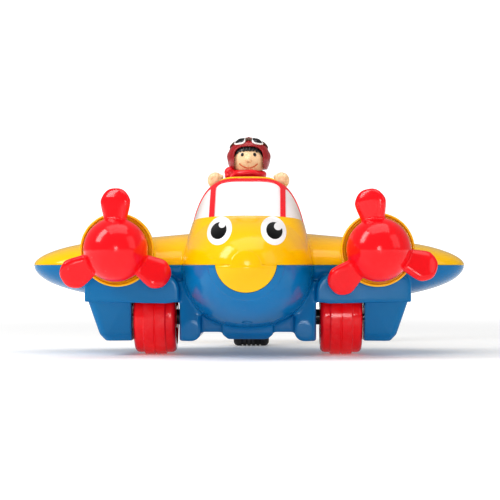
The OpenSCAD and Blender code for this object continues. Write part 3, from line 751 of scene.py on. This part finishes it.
# ---- Cockpit and windscreen ----------------------------------------------------------
# The opening has rounded corners. A sloping milky windscreen is set into the shell in front
# of it, with printed red pillars and a hoop, and a thin yellow bead runs round its top.

cockpit_corners = [(15.5, arch_y + 14.0, 7.0), (10.5, -2.0, 12.0)]
sill_z = seam_z + 42.0


def cockpit_prism(inset, low, high):
    found = []
    for side in (-1, 1):
        for x, y, r in cockpit_corners:
            found += [(px, py, z) for px, py in circle(side * x, y, r - inset) for z in (low, high)]
    return hull("cockpit", found)


def screen_space(back=arch_y + 3.0):
    """Everything above the plane that the windscreen stands on."""
    front = screen_y - 8.0
    drop = math.tan(math.radians(6.0)) * (back - front)
    foot = seam_z + 30.0
    side_view = [(front, foot), (back, foot - drop), (back, 180.0), (front, 180.0)]
    return hull("space", [(x, y, z) for x in (-60.0, 60.0) for y, z in side_view])


def skin(name, outside, inside):
    made = body(outside)
    made.name = name
    carve(made, [screen_space()], "INTERSECT")
    carve(made, [body(inside)])
    return made


carve(upper, [cockpit_prism(0.0, seam_z + 4.0, 200.0)])
carve(upper, [screen_space()])
carve(upper, [block("sill", (-50.0, arch_y + 1.0, sill_z), (50.0, arch_y + 45.0, 180.0))])
finish_piece(upper, "yellow_upper_shell", yellow_plastic, "airframe", "upper_shell")

windscreen = skin("windscreen", 0.6, wall)
finish_piece(windscreen, "milky_windscreen", milky_plastic, "airframe", "windscreen")

pillar_in, pillar_out, hoop_y = 19.7, 22.9, -52.9
sweep = 0.2


def rounded(x0, x1, y0, y1, r):
    """Plan of a pane with rounded corners."""
    return np.concatenate([circle(x, y, r, 32) for x in (x0 + r, x1 - r) for y in (y0 + r, y1 - r)])


screen_frame = skin("frame", 0.0, 0.6)
for x0, x1, r, lean in ((-pillar_in, pillar_in, 3.4, 0.0), (pillar_out, 60.0, 2.0, sweep),
                        (-60.0, -pillar_out, 2.0, sweep)):
    low, high = [[(x, y, z) for x, y in rounded(x0, x1, -120.0, hoop_y + lean * (110.0 - z), r)]
                 for z in (60.0, 180.0)]
    carve(screen_frame, [hull("pane", low + high)])
finish_piece(screen_frame, "red_windscreen_frame", red_paint, "airframe", "windscreen_frame")


def arch_points(y, rise, sink):
    """Top of the arch at station y from sill to sill, raised on top and sunk at the sides."""
    raised, sunk = body_ring(y, -rise, 400), body_ring(y, sink, 400)
    crown = max(p[2] for p in raised)
    found = []
    for high, low in zip(raised[:201], sunk[:201]):
        t = min(1.0, max(0.0, (high[2] - crown + 2.6) / 2.2))
        if high[2] > sill_z - 1.0:
            found.append(tuple(mix(l, h, t) for l, h in zip(low, high)))
    return found


def bead(name, path, r, sides=16):
    """Round bar along a path of points, with closed ends."""
    path = [Vector(p) for p in path]
    rings = []
    for i, p in enumerate(path):
        ahead = (path[min(i + 1, len(path) - 1)] - path[max(i - 1, 0)]).normalized()
        u = ahead.orthogonal().normalized() if i == 0 else (u - u.dot(ahead) * ahead).normalized()
        v = ahead.cross(u)
        rings.append([p + r * (math.cos(a) * u + math.sin(a) * v)
                      for a in turns(sides)])
    return loft(name, rings)


rim = bead("rim", arch_points(arch_y + 1.8, 0.05, 1.1), 0.9)
finish_piece(rim, "yellow_arch_bead", yellow_plastic, "airframe")


# ---- Eyes ----------------------------------------------------------------------------
# Two cartoon eyes are pad printed on the nose in white and black ink, each with a round
# highlight. Every layer is a thin film that follows the shell.

white_ink = moulded("white_ink", (0.96, 0.95, 0.95), rough=0.14, worn=0.0)
black_ink = moulded("black_ink", (0.002, 0.002, 0.002), rough=0.12, coat=0.12, worn=0.0, gloss=0.1)


def film(name, x, z, half_w, half_h, lean, lift, material):
    """Thin printed oval that follows the nose, leaning by an angle in degrees."""
    turn = math.radians(lean)
    rows, steps = 14, 72
    points = []
    for k in range(rows):
        for a in turns(steps):
            t = max(k, 0.02) / (rows - 1)
            u, w = half_w * t * math.cos(a), half_h * t * math.sin(a)
            px = x + u * math.cos(turn) + w * math.sin(turn)
            pz = z - u * math.sin(turn) + w * math.cos(turn)
            place, normal, _, _ = surface.ray_cast(Vector((px, -300.0, pz)) * MM, Vector((0, 1, 0)))
            points.append(place / MM + normal * lift)
    faces = [(k * steps + i, k * steps + (i + 1) % steps, (k + 1) * steps + (i + 1) % steps,
              (k + 1) * steps + i) for k in range(rows - 1) for i in range(steps)]
    faces.append(tuple(range(steps)))
    made = add_solid(name, points, faces)
    modify(made, "SOLIDIFY", thickness=0.12 * MM, offset=0.0)
    rework(made, lambda bm: bmesh.ops.recalc_face_normals(bm, faces=bm.faces))
    finish_piece(made, name, material, "airframe")


for side, label in ((-1, "left"), (1, "right")):
    film(f"{label}_eye_white", side * 15.75, 75.1, 7.3, 8.8, -side * 16.0, 0.07, white_ink)
    film(f"{label}_eye_pupil", side * 16.2, 75.0, 4.6, 5.2, -side * 22.0, 0.14, black_ink)
film("left_eye_highlight", -14.3, 78.5, 2.1, 2.1, 0.0, 0.21, white_ink)
film("right_eye_highlight", 18.3, 77.5, 2.4, 2.4, 0.0, 0.21, white_ink)


# ---- Gear housings -------------------------------------------------------------------
# Each outboard leg is a separate hollow box, screwed up under the wing. It carries the
# outer end of the axle and the gear train to the propeller.


def gear_housing(side, label):
    slope = (leg_top - 90.0) / (split_z - leg_z - 4.0)
    over = [(x + 4.0 * slope * (x > 80.0), y, z + 4.0) for x, y, z in leg_points() if z == split_z]
    made = fuse("housing", [hull("leg", sided(leg_points() + over, side))], 0.7, 4)
    for tool in (block("above", (-reach, -reach, split_z), (reach, reach, reach)),
                 side_block(side, (room_in, room_front, leg_z + 1.8), (room_out - 2.2, room_back, 60.0)),
                 side_block(side, (room_in, room_front, 17.0), (room_out, room_back, 60.0)),
                 side_drum(side, bush_r, 60.0, 80.0, axle_y, axle_z)):
        carve(made, [tool])
    node = f"{label}_gear_housing"
    finish_piece(made, f"{label}_blue_housing", blue_plastic, "airframe", node)


gear_housing(-1, "left")
gear_housing(1, "right")


# ---- Tail ----------------------------------------------------------------------------
# The upright fin and the tailplane are separate yellow mouldings with soft edges, set into
# the rear of the upper shell.

fin_outline = [(70, 18), (92, 66), (104, 75), (122, 75), (131, 66), (131, 10), (116, 8)]


def inset_corners(outline, d):
    """Corners of a convex outline after each side has moved in by d."""
    points = [Vector(p) for p in outline]
    middle = sum(points, Vector((0, 0))) / len(points)
    lines = []
    for a, b in zip(points, points[1:] + points[:1]):
        normal = Vector((a.y - b.y, b.x - a.x)).normalized()
        if normal.dot(middle - a) < 0.0:
            normal = -normal
        lines.append((normal, normal.dot(a) + d))
    found = []
    for (n1, c1), (n2, c2) in zip(lines[-1:] + lines[:-1], lines):
        det = n1.x * n2.y - n1.y * n2.x
        found.append(((c1 * n2.y - c2 * n1.y) / det, (n1.x * c2 - n2.x * c1) / det))
    return found


def fin():
    found = []
    for half, r in ((2.0, 4.0), (4.3, 0.8)):
        for y, z in inset_corners(fin_outline, 4.0):
            found += [(x, py, seam_z + pz) for py, pz in circle(y, z, r, 24) for x in (-half, half)]
    made = fuse("fin", [hull("fin", found)], 0.6, 8)
    carve(made, [body(0.0)])
    carve(made, [block("foot", (-20, 60, -10), (20, 140, seam_z + 8.2))])
    return made


def pod(x, y, r, h):
    a = turns(40)
    return [(x + r * math.cos(e) * math.cos(t), y + r * math.cos(e) * math.sin(t),
             seam_z + 11.0 + h * math.sin(e)) for t in a for e in np.linspace(-1.57, 1.57, 15)]


def tailplane():
    parts = [hull("plane", pod(side * 56.0, 114.0, 8.5, 2.2) + pod(side * 4.0, 108.0, 19.0, 3.6))
             for side in (-1, 1)]
    made = fuse("tailplane", parts, 0.5, 5)
    carve(made, [body(0.0)])
    carve(made, [block("slot", (-4.6, 60, -10), (4.6, 160, 200))])
    return made


finish_piece(fin(), "yellow_tail_fin", yellow_plastic, "airframe", "tail_fin")
finish_piece(tailplane(), "yellow_tailplane", yellow_plastic, "airframe", "tailplane")


# ---- Cowls and propellers ------------------------------------------------------------
# A stepped yellow ring closes the front of each nacelle. In front of it turns a propeller
# moulded in one piece: a hollow dome with three stubby, round-tipped, pitched blades.

cowl_box = box_of("right_cowl")
cowl_front, cowl_back = cowl_box[0].y, cowl_box[1].y
cowl_r = (cowl_box[1].z - cowl_box[0].z) / 2
propeller_box = box_of("left_propeller")
hub_back = propeller_box[1].y
spinner_r = 19.0
dome_y = hub_back - 7.0
blade_y, blade_tip = -95.5, 36.3
pitch = math.radians(-24.0)


def arc(cr, cy, r, start, end, steps=8):
    """Stretch of a turned outline: an arc round (cr, cy), angles in degrees from outwards to the front."""
    return [(cr + r * math.cos(math.radians(a)), cy - r * math.sin(math.radians(a)))
            for a in np.linspace(start, end, steps)]


def cowl(side, label):
    lip = arc(cowl_r - 0.8, cowl_front + 0.8, 0.8, 0.0, 180.0, 12)
    step = [(cowl_r - inset, cowl_front + back) for inset, back in ((1.7, 1.6), (2.9, 1.7), (3.1, 3.4))]
    boss = [(5.0, cowl_back - 2.0), (5.0, cowl_front + 2.5), (2.05, cowl_front + 2.5), (2.05, cowl_back)]
    outline = [(cowl_r - 0.6, cowl_back), (cowl_r, cowl_back - 0.6)] + lip + step
    outline += [(cowl_r - 3.2, cowl_back - 2.0)] + boss
    made = ring_solid("cowl", outline, (side * prop_x, 0, prop_z), "Y")
    finish_piece(made, f"{label}_yellow_cowl", yellow_plastic, "airframe", f"{label}_cowl", angle=40.0)


def ring_solid(name, outline, centre, axis, steps=144):
    """Solid turned from a closed outline that doesn't reach the axis."""
    made = lathe(name, outline, centre, axis, steps)
    n, count = steps, len(outline)

    def close(bm):
        bm.faces.ensure_lookup_table()
        caps = [f for f in bm.faces if len(f.verts) == n]
        bmesh.ops.delete(bm, geom=caps, context="FACES_ONLY")
        bm.verts.ensure_lookup_table()
        last = (count - 1) * n
        for i in range(n):
            bm.faces.new([bm.verts[k] for k in (last + i, last + (i + 1) % n, (i + 1) % n, i)])
        bmesh.ops.recalc_face_normals(bm, faces=bm.faces)

    rework(made, close)
    return made


def blade_ring(z, width, thick):
    """Section of a blade at height z: flat faces, round edges, turned by the pitch."""
    a = turns(48)
    x, y = width * curve(np.cos(a), 2.4), thick * curve(np.sin(a), 2.9)
    return np.column_stack((x * math.cos(pitch) - y * math.sin(pitch),
                            x * math.sin(pitch) + y * math.cos(pitch), np.full(48, z)))


def blade():
    """Paddle standing on the Z axis, widest near its round tip."""
    rings = []
    for t in np.linspace(0.0, 1.0, 40):
        a = t * math.pi / 2
        z = 12.0 + (blade_tip - 12.0) * math.sin(a)
        round_end = math.cos(a) ** 0.72 if t < 1.0 else 0.02
        width = mix(6.9, 9.6, float(ease((z - 15.0) / 14.0))) * min(1.0, 1.28 * round_end)
        rings.append(blade_ring(z, width, max(0.1, 3.7 * min(1.0, 1.35 * round_end))))
    return loft("blade", rings)


def propeller(side, label, turn):
    a = np.linspace(0.0, 1.5, 40)
    outline = [(spinner_r, hub_back)]
    outline += [(spinner_r * math.cos(t), dome_y - spinner_r * math.sin(t)) for t in a]
    parts = [lathe("dome", outline, (0, 0, 0), "Y")]
    for k in range(3):
        made = blade()
        spin = Matrix.Rotation(math.radians(turn + 120.0 * k), 4, "Y")
        made.data.transform(Matrix.Translation((0, blade_y * MM, 0)))
        made.data.transform(spin)
        parts.append(made)
    made = fuse("propeller", parts, 0.45, 6)
    inside = [(spinner_r - wall, hub_back + 1.0)]
    inside += [((spinner_r - wall) * math.cos(t), dome_y - (spinner_r - wall) * math.sin(t)) for t in a]
    carve(made, [lathe("inside", inside, (0, 0, 0), "Y")])
    made.data.transform(Matrix.Translation((side * prop_x * MM, 0, prop_z * MM)))
    finish_piece(made, f"{label}_red_propeller", red_plastic, f"{label}_prop", f"{label}_propeller")


for side, label, turn in ((-1, "left", 0.0), (1, "right", -10.0)):
    cowl(side, label)
    propeller(side, label, turn)


# ---- Wheels --------------------------------------------------------------------------
# Red one-piece wheels, pressed on the axle, with a raised band round the middle. The rear
# roller is grooved black rubber.

wheel_mid = (wheel_box[0].x + wheel_box[1].x) / 2
wheel_w = wheel_box[1].x - wheel_box[0].x
band_half = 6.75


def wheel_outline():
    """Outline of a wheel, from the outboard hub to the inboard one."""
    half, side_r = wheel_w / 2, wheel_r - 1.2
    dish_in, dish_out, dish_depth, edge_r = 7.0, 17.0, 3.0, 3.0
    right = [(2.0, half), (dish_in, half), (dish_in, half - dish_depth)]
    right += [(dish_out, half - dish_depth), (dish_out, half)]
    right += [(side_r - edge_r + edge_r * math.sin(t), half - edge_r + edge_r * math.cos(t))
              for t in np.linspace(0.0, math.pi / 2, 10)]
    right += [(side_r, band_half + 0.5), (side_r + 0.25, band_half + 0.1)]
    right += [(wheel_r - 0.5, band_half), (wheel_r, band_half - 0.6)]
    right += [(wheel_r, 0.6), (wheel_r - 0.35, 0.25)]
    return right + [(r, -d) for r, d in reversed(right)]


def wheel(side, label):
    made = ring_solid("wheel", wheel_outline(), (side * wheel_mid, axle_y, axle_z), "X", 160)
    finish_piece(made, f"{label}_red_wheel", red_plastic, "front_axle", f"{label}_wheel")


for side, label in ((-1, "left"), (1, "right")):
    wheel(side, label)

black_rubber = moulded("black_rubber", (0.014, 0.014, 0.015), rough=0.62, coat=0.0, grain=1600.0,
                       depth=2e-5, worn=0.3)


def rear_roller():
    r, half = (roller_box[1].z - roller_box[0].z) / 2, (roller_box[1].x - roller_box[0].x) / 2
    middle = (roller_box[0] + roller_box[1]) / 2
    edge_r, bore_r, rib_depth = 3.0, 2.05, 0.7
    outline = [(bore_r, half), (r - edge_r, half)]
    outline += [(r - edge_r + edge_r * math.sin(t), half - edge_r + edge_r * math.cos(t))
                for t in np.linspace(0.2, 1.57, 7)]
    for x in (6.0, 3.0, 0.0, -3.0, -6.0):
        outline += [(r, x + 0.7), (r - rib_depth, x + 0.35), (r - rib_depth, x - 0.35), (r, x - 0.7)]
    outline += [(r - edge_r + edge_r * math.cos(t), edge_r - half - edge_r * math.sin(t))
                for t in np.linspace(0.0, 1.37, 7)]
    outline += [(r - edge_r, -half), (bore_r, -half)]
    made = ring_solid("roller", outline, (0, middle.y, middle.z), "X", 120)
    finish_piece(made, "black_rear_roller", black_rubber, "tail_roller", "rear_roller")


rear_roller()


# ---- Pilot ---------------------------------------------------------------------------
# A soft painted vinyl figure that stands loose in the cockpit: dark red flying jacket, both
# hands up on the sill, a red scarf knotted at one side, and a round head with a leather
# style helmet, goggles pushed up on the forehead, black hair and a plain smiling toy face.

jacket_box = box_of("pilot_body")
hand_box = box_of("pilot_hands")
helmet_box = box_of("pilot_helmet")
pilot_y = -30.0
head_z = 121.0
head_r = 11.0
neck_z = 106.0
hand_r = 5.3
hand_x = hand_box[1].x - hand_r
hand_y = hand_box[0].y + hand_r
hand_z = hand_box[0].z + hand_r
helmet_r = helmet_box[1].z - head_z - 0.6
helmet_mid = Vector((0.0, pilot_y + 0.5, head_z + 0.6))


def vinyl(name, colour, rough=0.42):
    """Soft vinyl with brushed-on paint: a waxy skin, uneven colour and rubbed high spots."""
    made = Finish(name, roughness=rough, coat_weight=0.15, coat_roughness=0.25)
    patch = made.noise(180.0, 4.0, 0.6)
    pigment = made.blend(patch.clamped(0.3, 0.7), rgba(colour, 0.93), rgba(colour, 1.05))
    edge = made.node("ShaderNodeNewGeometry", {}, {}, "Pointiness")
    pale = tuple(c + (1.0 - c) * 0.25 for c in colour)
    rubbed = edge.clamped(0.52, 0.62) * made.noise(700.0, 2.0).clamped(0.4, 0.6) * 0.4
    made.feed("Base Color", made.blend(rubbed, pigment, rgba(pale)))
    made.feed("Roughness", patch * 0.15 + (rough - 0.07))
    made.bump(made.noise(2400.0, 3.0, 0.6) + patch * 0.5, 2.5e-5)
    return made.material


skin_vinyl = vinyl("skin_vinyl", (1.0, 0.68, 0.40), 0.38)
jacket_vinyl = vinyl("jacket_vinyl", (0.34, 0.008, 0.012))
helmet_vinyl = vinyl("helmet_vinyl", (0.36, 0.008, 0.012), 0.26)
scarf_vinyl = vinyl("scarf_vinyl", (0.88, 0.008, 0.02), 0.32)
hair_vinyl = vinyl("hair_vinyl", (0.006, 0.005, 0.005), 0.3)
goggle_vinyl = vinyl("goggle_vinyl", (0.93, 0.92, 0.90), 0.25)
strap_vinyl = vinyl("strap_vinyl", (0.10, 0.035, 0.015), 0.4)
lens_vinyl = vinyl("lens_vinyl", (0.006, 0.006, 0.008), 0.08)
mouth_vinyl = vinyl("mouth_vinyl", (0.72, 0.17, 0.06), 0.5)


def ball(centre, radii, turn=None, steps=48):
    """Ellipsoid, turned about its own centre by a matrix."""
    a = np.linspace(0.0, math.pi, steps // 2)
    made = lathe("ball", [(math.sin(t), -math.cos(t)) for t in a], (0, 0, 0), "Z", steps)
    spin = turn or Matrix.Identity(4)
    made.data.transform(Matrix.Diagonal((*radii, 1.0)))
    made.data.transform(Matrix.Translation(Vector(centre) * MM) @ spin)
    return made


def limb(a, b, ra, rb):
    """Rounded limb from a to b."""
    points = []
    for (x, y, z), r in ((a, ra), (b, rb)):
        for e in np.linspace(-1.5, 1.5, 9):
            ring = circle(x, y, r * math.cos(e), 20)
            points += [(px, py, z + r * math.sin(e)) for px, py in ring]
    return hull("limb", points)


def hands():
    made = []
    for side in (-1, 1):
        palm = Vector((side * hand_x, hand_y, hand_z + 1.8))
        thumb = palm + Vector((-side * 3.6, -1.4, 2.2))
        parts = [ball(palm, (4.9, 4.9, 5.1)), limb(palm, thumb, 2.4, 1.5)]
        for k in (-1, 0, 1):
            knuckle = palm + Vector((side * (0.4 + 1.6 * k), -2.8, 2.2 - 0.5 * abs(k)))
            parts.append(ball(knuckle, (1.5, 2.2, 2.4)))
        made.append(fuse("hand", parts, 0.3, 3))
    hand_pair = join("hands", made)
    finish_piece(hand_pair, "pilot_vinyl_hands", skin_vinyl, "pilot", "pilot_hands")


def jacket():
    base = jacket_box[0].z
    foot = lathe("foot", [(10.4, base), (10.4, base + 6.0), (9.9, base + 7.0)], (0, pilot_y, 0), "Z", 96)
    chest = hull("chest", [(x, y + pilot_y, z) for r, z in ((9.6, base + 6.0), (10.2, neck_z - 14.0))
                           for x, y in circle(0, 0, r)])
    parts = [foot, chest]
    for side in (-1, 1):
        shoulder = (side * 9.0, pilot_y, neck_z - 8.0)
        elbow = (side * 14.5, pilot_y - 2.0, neck_z - 8.5)
        wrist = (side * (hand_x - 2.5), hand_y + 5.0, hand_z - 1.5)
        cuff = (side * (hand_x - 1.5), hand_y + 3.4, hand_z - 0.8)
        parts += [ball((side * 6.0, pilot_y, neck_z - 7.4), (8.4, 7.2, 6.2)),
                  limb(shoulder, elbow, 4.8, 4.4), limb(elbow, wrist, 4.3, 3.6),
                  limb(wrist, cuff, 4.3, 4.3)]
    collar = [(7.6, neck_z - 5.0), (8.2, neck_z - 2.6), (6.4, neck_z - 2.2), (5.0, neck_z - 3.0)]
    parts.append(lathe("collar", collar, (0, pilot_y, 0), "Z", 96))
    made = fuse("jacket", parts, 0.4, 5)
    teeth = [ball((0.0, pilot_y - 10.15 + 0.02 * (z - 80.0), z), (1.0, 0.75, 0.45), steps=16)
             for z in np.arange(base + 6.0, neck_z - 3.0, 1.5)]
    carve(made, both(lambda side: ball((side * hand_x, hand_y, hand_z), (5.2, 5.2, 5.3))))
    carve(made, [drum("socket", 3.1, (0, pilot_y, 0), "Z", neck_z - 10.0, neck_z + 20.0)])
    finish_piece(made, "pilot_vinyl_jacket", jacket_vinyl, "pilot", "pilot_body")
    zipper = join("zip", teeth)
    finish_piece(zipper, "pilot_jacket_zip", goggle_vinyl, "pilot")


def scarf():
    """Two twisted turns round the neck, with a knot and a short end at one side."""
    parts = []
    for low, r, lean, phase in ((neck_z + 2.4, 8.7, 0.9, 0.0), (neck_z + 5.6, 8.9, 0.8, 2.2)):
        path = []
        for a in np.linspace(0.0, 2.0 * math.pi, 73):
            fold = 0.25 * math.sin(5.0 * a + phase)
            height = low + lean * math.cos(a + phase) * 0.5 + fold
            path.append((r * math.cos(a), pilot_y + r * math.sin(a), height))
        parts.append(bead("turn", path, 2.25, 20))
    parts += [ball((-11.6, pilot_y - 3.0, neck_z + 7.0), (3.6, 3.4, 3.4)),
              ball((-11.8, pilot_y - 3.4, neck_z + 4.6), (3.2, 3.2, 2.6)),
              limb((-10.0, pilot_y - 5.0, neck_z + 4.0), (-10.6, pilot_y - 6.2, neck_z + 0.4), 2.2, 1.7),
              limb((6.5, pilot_y - 6.0, neck_z + 2.8), (12.2, pilot_y - 3.4, neck_z + 2.0), 1.7, 1.3),
              lathe("inner", [(4.0, neck_z), (9.0, neck_z), (9.0, neck_z + 6.0), (4.0, neck_z + 6.0)],
                    (0, pilot_y, 0), "Z", 96)]
    made = fuse("scarf", parts, 0.33, 3)
    carve(made, [drum("neck", 4.4, (0, pilot_y, 0), "Z", neck_z - 10.0, neck_z + 20.0)])
    carve(made, [ball((0, pilot_y, head_z), (11.6, 11.6, 11.6), steps=96)])
    carve(made, [ball(helmet_mid, (13.9, 13.9, 8.0), steps=96)])
    finish_piece(made, "pilot_red_scarf", scarf_vinyl, "pilot", "pilot_scarf")


def face_point(x, z, lift=0.0):
    """Point on the front of the head."""
    flat = math.sqrt(max(0.0, (head_r + lift) ** 2 - x * x - (z - head_z) ** 2))
    return Vector((x, pilot_y - flat, z))


def smile(reach_out, lift):
    """Path of the mouth, drawn over part of its width, over or under the skin."""
    half, corner_z, dip = 5.8, head_z - 3.0, 2.8
    return [face_point(half * t, corner_z - dip * (1.0 - t * t), lift)
            for t in np.linspace(-reach_out, reach_out, 25)]


def head():
    parts = [ball((0, pilot_y, head_z), (head_r, head_r, head_r)),
             drum("peg", 3.0, (0, pilot_y, 0), "Z", neck_z - 9.0, head_z - 5.0),
             ball(face_point(0.0, head_z - 0.6, -0.2), (2.1, 1.9, 2.0))]
    for side in (-1, 1):
        parts.append(ball(face_point(side * 6.2, head_z - 3.0, -2.5), (2.6, 2.6, 2.6)))
    made = fuse("head", parts, 0.32, 5)
    carve(made, [bead("smile", smile(1.0, 0.12), 0.5, 12)])
    finish_piece(made, "pilot_vinyl_head", skin_vinyl, "pilot_top", "pilot_head")
    finish_piece(bead("lips", smile(0.97, -0.1), 0.4, 10), "pilot_smile", mouth_vinyl, "pilot_top")
    eyes = []
    for side in (-1, 1):
        spot = face_point(side * 3.9, head_z + 2.5, 0.05)
        aim = (spot - Vector((0, pilot_y, head_z))).to_track_quat("Z", "Y").to_matrix().to_4x4()
        eyes.append(ball(spot, (1.05, 1.2, 0.32), aim, 24))
    finish_piece(join("eyes", eyes), "pilot_eyes", hair_vinyl, "pilot_top")


def face_tunnel(half, top, r):
    """Opening for the face: a rounded arch of a half width, up to a height over the head centre."""
    return hull("tunnel", [(x, y, z) for side in (-1, 1) for y in (pilot_y - 40.0, pilot_y - 3.0)
                           for low in (head_z + top - r, head_z - 14.0)
                           for x, z in circle(side * (half - r), low, r)])


def hair():
    made = ball(helmet_mid, (11.75, 11.75, 11.75), steps=96)
    carve(made, [block("low", (-30, pilot_y - 30, head_z - 30), (30, pilot_y + 30, head_z + 1.2))])
    carve(made, [ball((0, pilot_y, head_z), (11.06, 11.06, 11.06), steps=96)])
    carve(made, [face_tunnel(8.9, 4.9, 5.6)])
    locks = []
    for k, x in enumerate(np.linspace(-6.6, 6.6, 8)):
        z = head_z + 5.7 - 0.03 * x * x + 0.3 * (k % 2)
        locks.append(limb(face_point(x, z + 1.2, 0.15), face_point(x * 1.08, z - 0.7, 0.15), 1.1, 0.62))
    fringe = fuse("fringe", locks, 0.2, 2)
    cap = join("hair", [made, fringe])
    finish_piece(cap, "pilot_black_hair", hair_vinyl, "pilot_top", "pilot_hair")


def helmet():
    parts = [ball(helmet_mid, (helmet_r - 0.25,) * 3, steps=96)]
    for side in (-1, 1):
        parts.append(ball((side * 10.9, pilot_y + 0.5, head_z + 1.8), (2.8, 4.6, 4.0)))
        flap, tip = (side * 10.6, pilot_y - 1.0, head_z - 0.5), (side * 9.5, pilot_y - 2.4, head_z - 4.6)
        parts.append(limb(flap, tip, 2.2, 1.2))
    ridge = [helmet_mid + (helmet_r - 0.3) * Vector((0.0, -math.cos(a), math.sin(a)))
             for a in np.linspace(0.75, 2.9, 30)]
    parts.append(bead("ridge", ridge, 0.5, 12))
    made = fuse("helmet", parts, 0.32, 4)
    carve(made, [ball(helmet_mid, (11.9, 11.9, 11.9), steps=96)])
    carve(made, [face_tunnel(9.2, 7.9, 5.6)])
    carve(made, [block("low", (-30, pilot_y - 30, head_z - 30), (30, pilot_y + 30, head_z - 6.2))])
    finish_piece(made, "pilot_red_helmet", helmet_vinyl, "pilot_top", "pilot_helmet")
    brim = []
    for a in np.linspace(-0.3, math.pi + 0.3, 48):
        x, z = 9.5 * float(curve(math.cos(a), 2.6)), head_z + 0.4 + 7.8 * float(curve(math.sin(a), 2.6))
        out = math.sqrt(max(0.0, 12.9 ** 2 - x * x - (z - helmet_mid.z) ** 2))
        brim.append((x, helmet_mid.y - out, z))
    finish_piece(bead("brim", brim, 0.62, 14), "pilot_helmet_brim", helmet_vinyl, "pilot_top")


def on_helmet(turn, lean, lift):
    """Point over the helmet: turn sideways from straight ahead, lean up from level, in degrees."""
    t, u = math.radians(turn), math.radians(lean)
    out = Vector((math.sin(t) * math.cos(u), -math.cos(t) * math.cos(u), math.sin(u)))
    return helmet_mid + (helmet_r + lift) * out


def goggles():
    rims, lenses = [], []
    for side in (-1, 1):
        outline = []
        for a in np.linspace(0.0, 2.0 * math.pi, 48):
            u, v = float(curve(math.cos(a), 3.4)), float(curve(math.sin(a), 3.4))
            outline.append(on_helmet(side * (36.0 + 20.0 * u), 50.0 + 11.0 * v - 1.5 * u, 0.2))
        rims.append(bead("rim", outline, 0.6, 12))
        grid = []
        n = 12
        for j in range(n):
            for i in range(n):
                u, v = 2.0 * i / (n - 1) - 1.0, 2.0 * j / (n - 1) - 1.0
                bulge = 0.35 + 0.5 * (1.0 - u ** 4) * (1.0 - v ** 4)
                grid.append(on_helmet(side * (36.0 + 19.2 * u), 50.0 + 10.4 * v - 1.5 * u, bulge))
        quads = [(j * n + i, j * n + i + 1, (j + 1) * n + i + 1, (j + 1) * n + i)
                 for j in range(n - 1) for i in range(n - 1)]
        lens = add_solid("lens", grid, quads)
        modify(lens, "SOLIDIFY", thickness=0.5 * MM, offset=0.0)
        lenses.append(lens)
    rims = join("rims", rims)
    lenses = join("lenses", lenses)
    finish_piece(rims, "pilot_goggle_rims", goggle_vinyl, "pilot_top", "pilot_goggles")
    finish_piece(lenses, "pilot_goggle_lenses", lens_vinyl, "pilot_top", slot="black_plastic")
    bridge = [on_helmet(t, 53.0 + 3.0 * math.cos(math.radians(6.0 * t)), 0.3)
              for t in np.linspace(-14.0, 14.0, 15)]
    strap = [bead("bridge", bridge, 1.0, 12)]
    for side in (-1, 1):
        path = [on_helmet(side * t, 46.0 - 34.0 * (t - 60.0) / 120.0, 0.2)
                for t in np.linspace(60.0, 180.0, 40)]
        strap.append(ribbon("strap", path, 2.6, 0.8))
    finish_piece(join("strap", strap), "pilot_goggle_strap", strap_vinyl, "pilot_top")


def ribbon(name, path, width, thick):
    """Flat strap along a path over the helmet."""
    rings = []
    for i, p in enumerate(path):
        ahead = (path[min(i + 1, len(path) - 1)] - path[max(i - 1, 0)]).normalized()
        out = (p - helmet_mid).normalized()
        wide = ahead.cross(out).normalized()
        rings.append([p + wide * (width / 2 * float(curve(math.cos(t), 4.0)))
                      + out * (thick / 2 * float(curve(math.sin(t), 3.0))) for t in turns(20)])
    return loft(name, rings)


jacket()
hands()
scarf()
head()
hair()
helmet()
goggles()


# ---- Works inside --------------------------------------------------------------------
# The geared axle, the friction motor, the bearings and the screws keep the shapes of the
# frame, and get the finish that each is made in.


def brushed_steel():
    made = Finish("bright_steel", metallic=1.0)
    grain = made.noise(1.0, 3.0, 0.6, made.stretched(9000.0, 400.0, 9000.0))
    tarnish = made.noise(90.0, 4.0, 0.6).clamped(0.4, 0.8)
    clean = made.blend(grain, (0.60, 0.61, 0.63, 1.0), (0.78, 0.79, 0.80, 1.0))
    made.feed("Base Color", made.blend(tarnish * 0.3, clean, (0.42, 0.38, 0.34, 1.0)))
    made.feed("Roughness", grain * 0.15 + tarnish * 0.1 + 0.2)
    made.bump(grain, 8e-6)
    return made.material


bright_steel = brushed_steel()
for part in frame["record"]["subparts"]:
    node = frame["nodes"][part["node"]]
    node.data.materials.clear()
    node.data.materials.append(finishes[part["material_slot"]])
